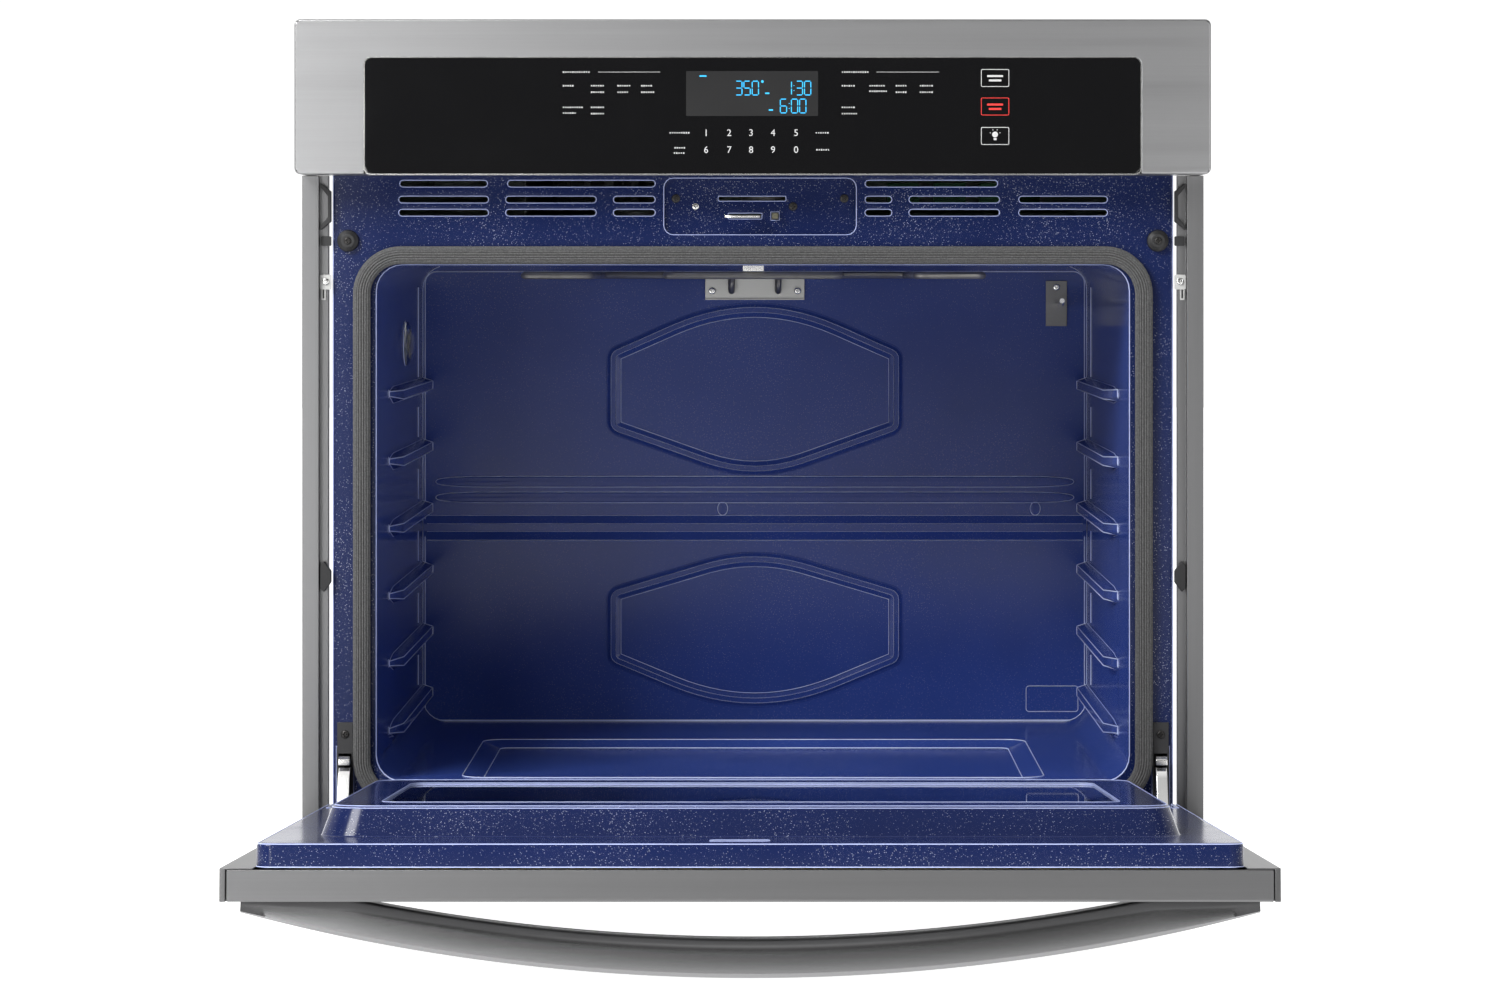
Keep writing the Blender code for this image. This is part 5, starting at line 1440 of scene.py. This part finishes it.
@dataclass
class Cavity:
    """The enamelled cavity with its floor pressing, elements, probe, lamp and brackets."""

    floor: float = 0.1003
    # Z spans of pale lines on the side walls: painted highlights.
    wall_lines: tuple[tuple[float, float], ...] = ((0.428, 0.512), (0.372, 0.400), (0.314, 0.342),
                                                   (0.256, 0.284), (0.198, 0.226), (0.140, 0.168))
    pan_half: float = 0.2460
    pan_y: tuple[float, float] = (0.021, 0.336)
    pan_depth: float = 0.0058
    pan_slope: float = 0.016
    wall_x: float = 0.3147
    wall_line_y: float = 0.452
    edge_radius: float = 0.00045

    def build(self) -> None:
        """Builds what is inside the oven's mouth."""
        cutter = bmesh.new()
        middle, half_v = sum(self.pan_y) / 2, (self.pan_y[1] - self.pan_y[0]) / 2
        through = (self.floor - 0.01, self.floor + 0.002)
        prism(cutter, round_box(self.pan_half, half_v, 0.018, 6), "Z", through, (0.0, middle))
        softened("cavity_wrap", DEEP_ENAMEL, 0.0009, 2, clamp=False, cutter=made_object("pan_hole", cutter))
        # Pale beads on the wrap's rib and corner edges: painted highlights.
        beaded("cavity_wrap", "cavity_edges", self.edge_radius, DEEP_EDGE_HIGHLIGHT,
               lambda a, b: abs(a.x) < 0.3156 and abs(b.x) < 0.3156 and a.z > 0.1002 and b.z > 0.1002
               and a.z < 0.5325 and b.z < 0.5325, convex=False)
        self.add_pan()
        BackPanel().build()
        softened("broil_element", SHEATH, 0.0)
        softened("broil_bracket", BRACKET, 0.0003, 2)
        softened("sensor_bracket", STAINLESS_RAIL_SHADED, 0.0003, 2)
        softened("element_hanger", BRIGHT, 0.0004, 2)
        softened("temperature_probe", CHROME, 0.0)
        softened("lamp_lens", LAMP_GLASS, 0.0006, 2)
        places = [(-0.0405, 0.5025, 0.5085), (0.0405, 0.5025, 0.5085)]
        placed("broil_bracket_screws", HARDWARE.screw(), places, Facing.FRONT, CHROME, "oven", size=0.9)
        placed("sensor_bracket_screw", HARDWARE.screw(), [(0.286, 0.5085, 0.5120)], Facing.FRONT, CHROME,
               "oven", size=0.9)

    def add_pan(self) -> None:
        """The pan set in the hole in the floor, and pale lines on the cavity's edges that are painted
        highlights.
        """
        middle, half_v = sum(self.pan_y) / 2, (self.pan_y[1] - self.pan_y[0]) / 2
        low = self.floor - self.pan_depth
        bm = bmesh.new()
        rings = []
        profile = ((-0.0010, low - 0.0008), (-0.0010, self.floor - 0.0003),
                   (-0.0006, self.floor + 0.0002), (0.0, self.floor + 0.0003), (0.0010, self.floor),
                   (self.pan_slope - 0.0015, low + 0.0005), (self.pan_slope, low),
                   (self.pan_slope + 0.004, low))
        for inset, z in profile:
            ring = round_box(self.pan_half - inset, half_v - inset, 0.019 - min(max(inset, 0), 0.010), 8)
            rings.append([Vector((u, v + middle, z)) for u, v in ring])
        bridged(bm, rings)
        lines = [[tuple(p) for p in rings[3]], [tuple(p + Vector((0, 0, 0.0001))) for p in rings[6]]]
        tubes("cavity_floor_edges", lines, self.edge_radius, DEEP_EDGE_HIGHLIGHT, "oven", sides=6, closed=True)
        # A pale line round the back corner fillet: painted highlight.
        lines = [[(u, 0.5106, v) for u, v in round_box(0.3128, 0.2128, 0.011, 6, (0.0, 0.3140))]]
        tubes("cavity_back_corner", lines, 0.0006, DEEP_EDGE_HIGHLIGHT, "oven", sides=6, closed=True)
        # Pale lines down the side walls' presses: painted highlights.
        lines = [[(sign * self.wall_x, self.wall_line_y, z) for z in ends]
                 for _, sign in SIDES for ends in self.wall_lines]
        tubes("cavity_wall_presses", lines, 0.0005, DEEP_EDGE_HIGHLIGHT, "oven", sides=6)
        settled(smooth(made_object("cavity_floor_press", bm)), DEEP_ENAMEL, "oven")


@dataclass
class Gasket:
    """The woven sleeve round the cavity's mouth, strand by strand."""

    half_width: float = 0.00755
    strands: int = 12
    strand_radius: float = 0.00098
    core_inset: float = 0.0011
    step: float = 0.0024
    wave: float = 0.00012
    pitch: float = 0.0056

    def loop(self, out: float, y: float) -> list[Vector]:
        """The sleeve's line, moved out from its middle.

        Args:
            out: how far outwards it lies.
            y: its place in depth.

        Returns:
            Points evenly spaced along it.
        """
        low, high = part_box("door_gasket")
        middle_z = (low.z + high.z) / 2
        half_u = high.x - self.half_width + out
        half_v = (high.z - low.z) / 2 - self.half_width + out
        corners = [Vector((u, y, v + middle_z)) for u, v in round_box(half_u, half_v, 0.0325 + out, 14)]
        points = []
        for first, last in zip(corners, corners[1:] + corners[:1]):
            count = max(1, round((last - first).length / self.step))
            points += [first.lerp(last, i / count) for i in range(count)]
        return points

    def build(self) -> None:
        """Builds the core and the strands."""
        core = softened("door_gasket", BRAID_DARK, 0.0016, 2, clamp=False)
        for vertex in core.data.vertices:
            vertex.co -= vertex.normal * self.core_inset
        low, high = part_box("door_gasket")
        half_w = self.half_width - self.strand_radius
        half_d = (high.y - low.y) / 2 - self.strand_radius
        middle_y = (low.y + high.y) / 2
        lines, lifts, phases = [], [], []
        for i in range(self.strands):
            angle = math.radians(-14 + 208 * i / (self.strands - 1))
            line = self.loop(half_w * math.cos(angle), middle_y - half_d * math.sin(angle))
            centre = Vector((0, middle_y, (low.z + high.z) / 2))
            lines.append(line)
            across = [Vector((p.x, 0, p.z - centre.z)).normalized() for p in line]
            lifts.append([(a.x * math.cos(angle), -math.sin(angle), a.z * math.cos(angle)) for a in across])
            phases.append(0.5 * (i % 2))
        made = line_object("gasket_strands", lines, lifts, closed=True, phases=phases)
        length = len(lines[0]) * self.step
        grown(made, FOLLOW, Radius=self.strand_radius, Sides=6, Wave=self.wave,
              Waves=round(length / self.pitch), Finish=BRAID.material())
        settled(smooth(made, 70), BRAID, "oven")


@dataclass
class Hinges:
    """The hinge receivers in the frame and the arms that the door hangs on."""

    def build(self) -> None:
        """Builds both hinges."""
        places = []
        for side, sign in SIDES:
            softened(f"hinge_receiver_{side}", DARK_STEEL, 0.0006, 2)
            softened(f"hinge_arm_{side}", CHROME, 0.0007, 2)
            softened(f"hinge_lock_{side}", BRIGHT, 0.0006, 2)
            softened(f"hinge_channel_{side}", DARK_STEEL, 0.0005, 2)
            places.append((sign * 0.3408, -0.0088, 0.1400))
        placed("receiver_screws", HARDWARE.screw(), places, Facing.FRONT, BLACK_OXIDE, "oven", size=0.95)


@dataclass
class Door:
    """The open door: skin, rails, enamelled liner, glass and handle."""

    handle_half: float = 0.367
    handle_reach: float = 0.0568
    handle_end_reach: float = 0.010
    handle_steps: int = 96
    bar_thickness: float = 0.028
    bar_z: tuple[float, float] = (0.539, 0.569)
    face_y: float = -0.0603
    pivot: Point = (0.0, -0.0386, 0.065)
    open_degrees: float = 86.35
    crown_depth: float = 0.40
    crown_fall: float = 0.24
    face_lean: float = 0.05

    def build(self) -> None:
        """Builds the door."""
        softened("door_skin", STAINLESS_RIM_SHADED, 0.0008, 3, clamp=False)
        for side, _ in SIDES:
            softened(f"door_rail_{side}", STAINLESS_RAIL_SHADED, 0.0006, 3)
        softened("door_liner", ENAMEL, 0.0010, 3, clamp=False)
        softened("inner_glass", DOOR_GLASS, 0.0004, 1)
        softened("outer_glass", DOOR_GLASS, 0.0004, 1)
        dressed("glass_frame", DARK_STEEL)
        dressed("door_insulation", WOOL)
        # Pale beads on the liner's edges: painted highlights.
        beaded("door_liner", "door_liner_edges", 0.00042, EDGE_HIGHLIGHT_ENAMEL, lambda a, b: True, convex=True)
        self.add_handle()

    def add_handle(self) -> None:
        """The bowed bar, with a crowned face and a narrow bevel, grown by the bow tree."""
        top = 1 - self.face_lean
        section = [(self.crown_depth * (1 - math.cos(a)), top - self.crown_fall * (1 - math.sin(a)))
                   for a in (math.pi / 2 * i / 9 for i in range(10))]
        section += [(0.88, 1.0), (0.90, 0.998), (0.985, 0.930), (1.0, 0.910),
                    (1.0, 0.14), (0.985, 0.06), (0.94, 0.015), (0.86, 0.0), (0.14, 0.0), (0.06, 0.015),
                    (0.015, 0.06), (0.0, 0.14)]
        bm = bmesh.new()
        steps = self.handle_steps
        bridged(bm, [[Vector((i / steps, s, t)) for s, t in section] for i in range(steps + 1)])
        made = made_object("handle_bar_formed", bm)
        where = [v.co.copy() for v in made.data.vertices]
        mark(made, "along", [p.x for p in where])
        mark(made, "section", [c for p in where for c in (p.y, p.z, 0.0)], "FLOAT_VECTOR")
        sizes = {"Half Width": self.handle_half, "Reach": self.handle_reach,
                 "End Reach": self.handle_end_reach, "Thickness": self.bar_thickness,
                 "Low": self.bar_z[0], "High": self.bar_z[1],
                 "Face": self.face_y, "Turn": math.radians(self.open_degrees), "Pivot": self.pivot,
                 "Finish": HANDLE.material()}
        grown(made, BOW, **sizes)
        bm = bmesh.new()
        bm.from_mesh(made.data)
        bmesh.ops.recalc_face_normals(bm, faces=bm.faces)
        bm.to_mesh(made.data)
        bm.free()
        settled(smooth(made, 24), HANDLE, "door", ("handle_bar",))


@dataclass
class Studio:
    """A pale floor, soft lights and the camera."""

    camera_place: Point = (0.0135, -3.846, 0.5264)
    lens: float = 110.2
    shift: tuple[float, float] = (-0.0127, -0.152)
    floor_tone: float = 0.34
    floor_glow: float = 2.9
    world_tone: float = 1.08
    dark_tone: float = 0.045
    lights: tuple[tuple[str, Point, Point, float, float], ...] = (
        ("key_light", (-1.5, -1.9, 1.9), (0, 0, 0.35), 1.1, 88.0),
        ("fill_light", (2.0, -3.4, 1.0), (0, 0, 0.3), 1.2, 14.0),
        ("low_light", (-1.3, -3.6, 0.35), (0, 0.2, 0.3), 0.8, 12.0))

    def build(self) -> None:
        """Sets the studio up."""
        self.add_floor()
        self.add_lights()
        self.add_camera()

    def add_floor(self) -> None:
        """A wide pale floor, lit a little from within like a light table."""
        bm = bmesh.new()
        corners = [bm.verts.new((x, y, -0.0006)) for x, y in ((-14, -14), (14, -14), (14, 14), (-14, 14))]
        bm.faces.new(corners)
        floor = made_object("studio_floor", bm)
        finish = Lit("studio_paper", (self.floor_tone,) * 3, "", marks=0.02, glow=self.floor_glow)
        floor.data.materials.append(finish.material())

    def add_lights(self) -> None:
        """A surround that is bright overhead and behind, and soft lights beside the camera."""
        world = bpy.data.worlds.new("studio_surround")
        bpy.context.scene.world = world
        world.use_nodes = True
        wires = Wiring(world.node_tree)
        toward = wires.add("ShaderNodeTexCoord").outputs["Generated"]
        parts = wires.add("ShaderNodeSeparateXYZ", {0: toward}).outputs
        above = wires.span(parts["Z"], 0.45, 0.9)
        behind = wires.span(parts["Y"], -0.1, 0.4)
        share = wires.math("MAXIMUM", above, behind)
        tone = wires.span(share, 0, 1, self.dark_tone, self.world_tone)
        seen = wires.add("ShaderNodeLightPath").outputs["Is Camera Ray"]
        tone = wires.math("MAXIMUM", tone, seen)
        surround = wires.add("ShaderNodeBackground", {"Color": tone, "Strength": 1.0})
        wires.add("ShaderNodeOutputWorld", {"Surface": surround.outputs[0]})
        for light in self.lights:
            self.add_light(*light)

    def add_light(self, name: str, place: Point, target: Point, size: float, power: float) -> None:
        """Adds a square soft light turned to a point."""
        light = bpy.data.lights.new(name, "AREA")
        light.energy, light.size = power, size
        lamp = bpy.data.objects.new(name, light)
        lamp.location = place
        lamp.rotation_euler = (Vector(target) - Vector(place)).to_track_quat("-Z", "Y").to_euler()
        bpy.context.scene.collection.objects.link(lamp)

    def add_camera(self) -> None:
        """The camera, level and straight on."""
        camera = bpy.data.cameras.new("camera")
        camera.lens, camera.sensor_width = self.lens, 36.0
        camera.shift_x, camera.shift_y = self.shift
        camera.clip_end = 40.0
        held = bpy.data.objects.new("camera", camera)
        held.location = self.camera_place
        held.rotation_euler = (math.pi / 2, 0, 0)
        bpy.context.scene.collection.objects.link(held)
        bpy.context.scene.camera = held
        bpy.context.scene.view_settings.view_transform = "Standard"


def main() -> None:
    """Builds the oven in order, then the studio."""
    logging.basicConfig(level=logging.INFO, format="%(name)s: %(message)s")
    for assembly in (Chassis(), Fascia(), FrontFrame(), Trims(), Cavity(), Gasket(), Hinges(), Door(),
                     Studio()):
        LOG.info("building %s", type(assembly).__name__)
        assembly.build()


if __name__ == "__main__":
    main()
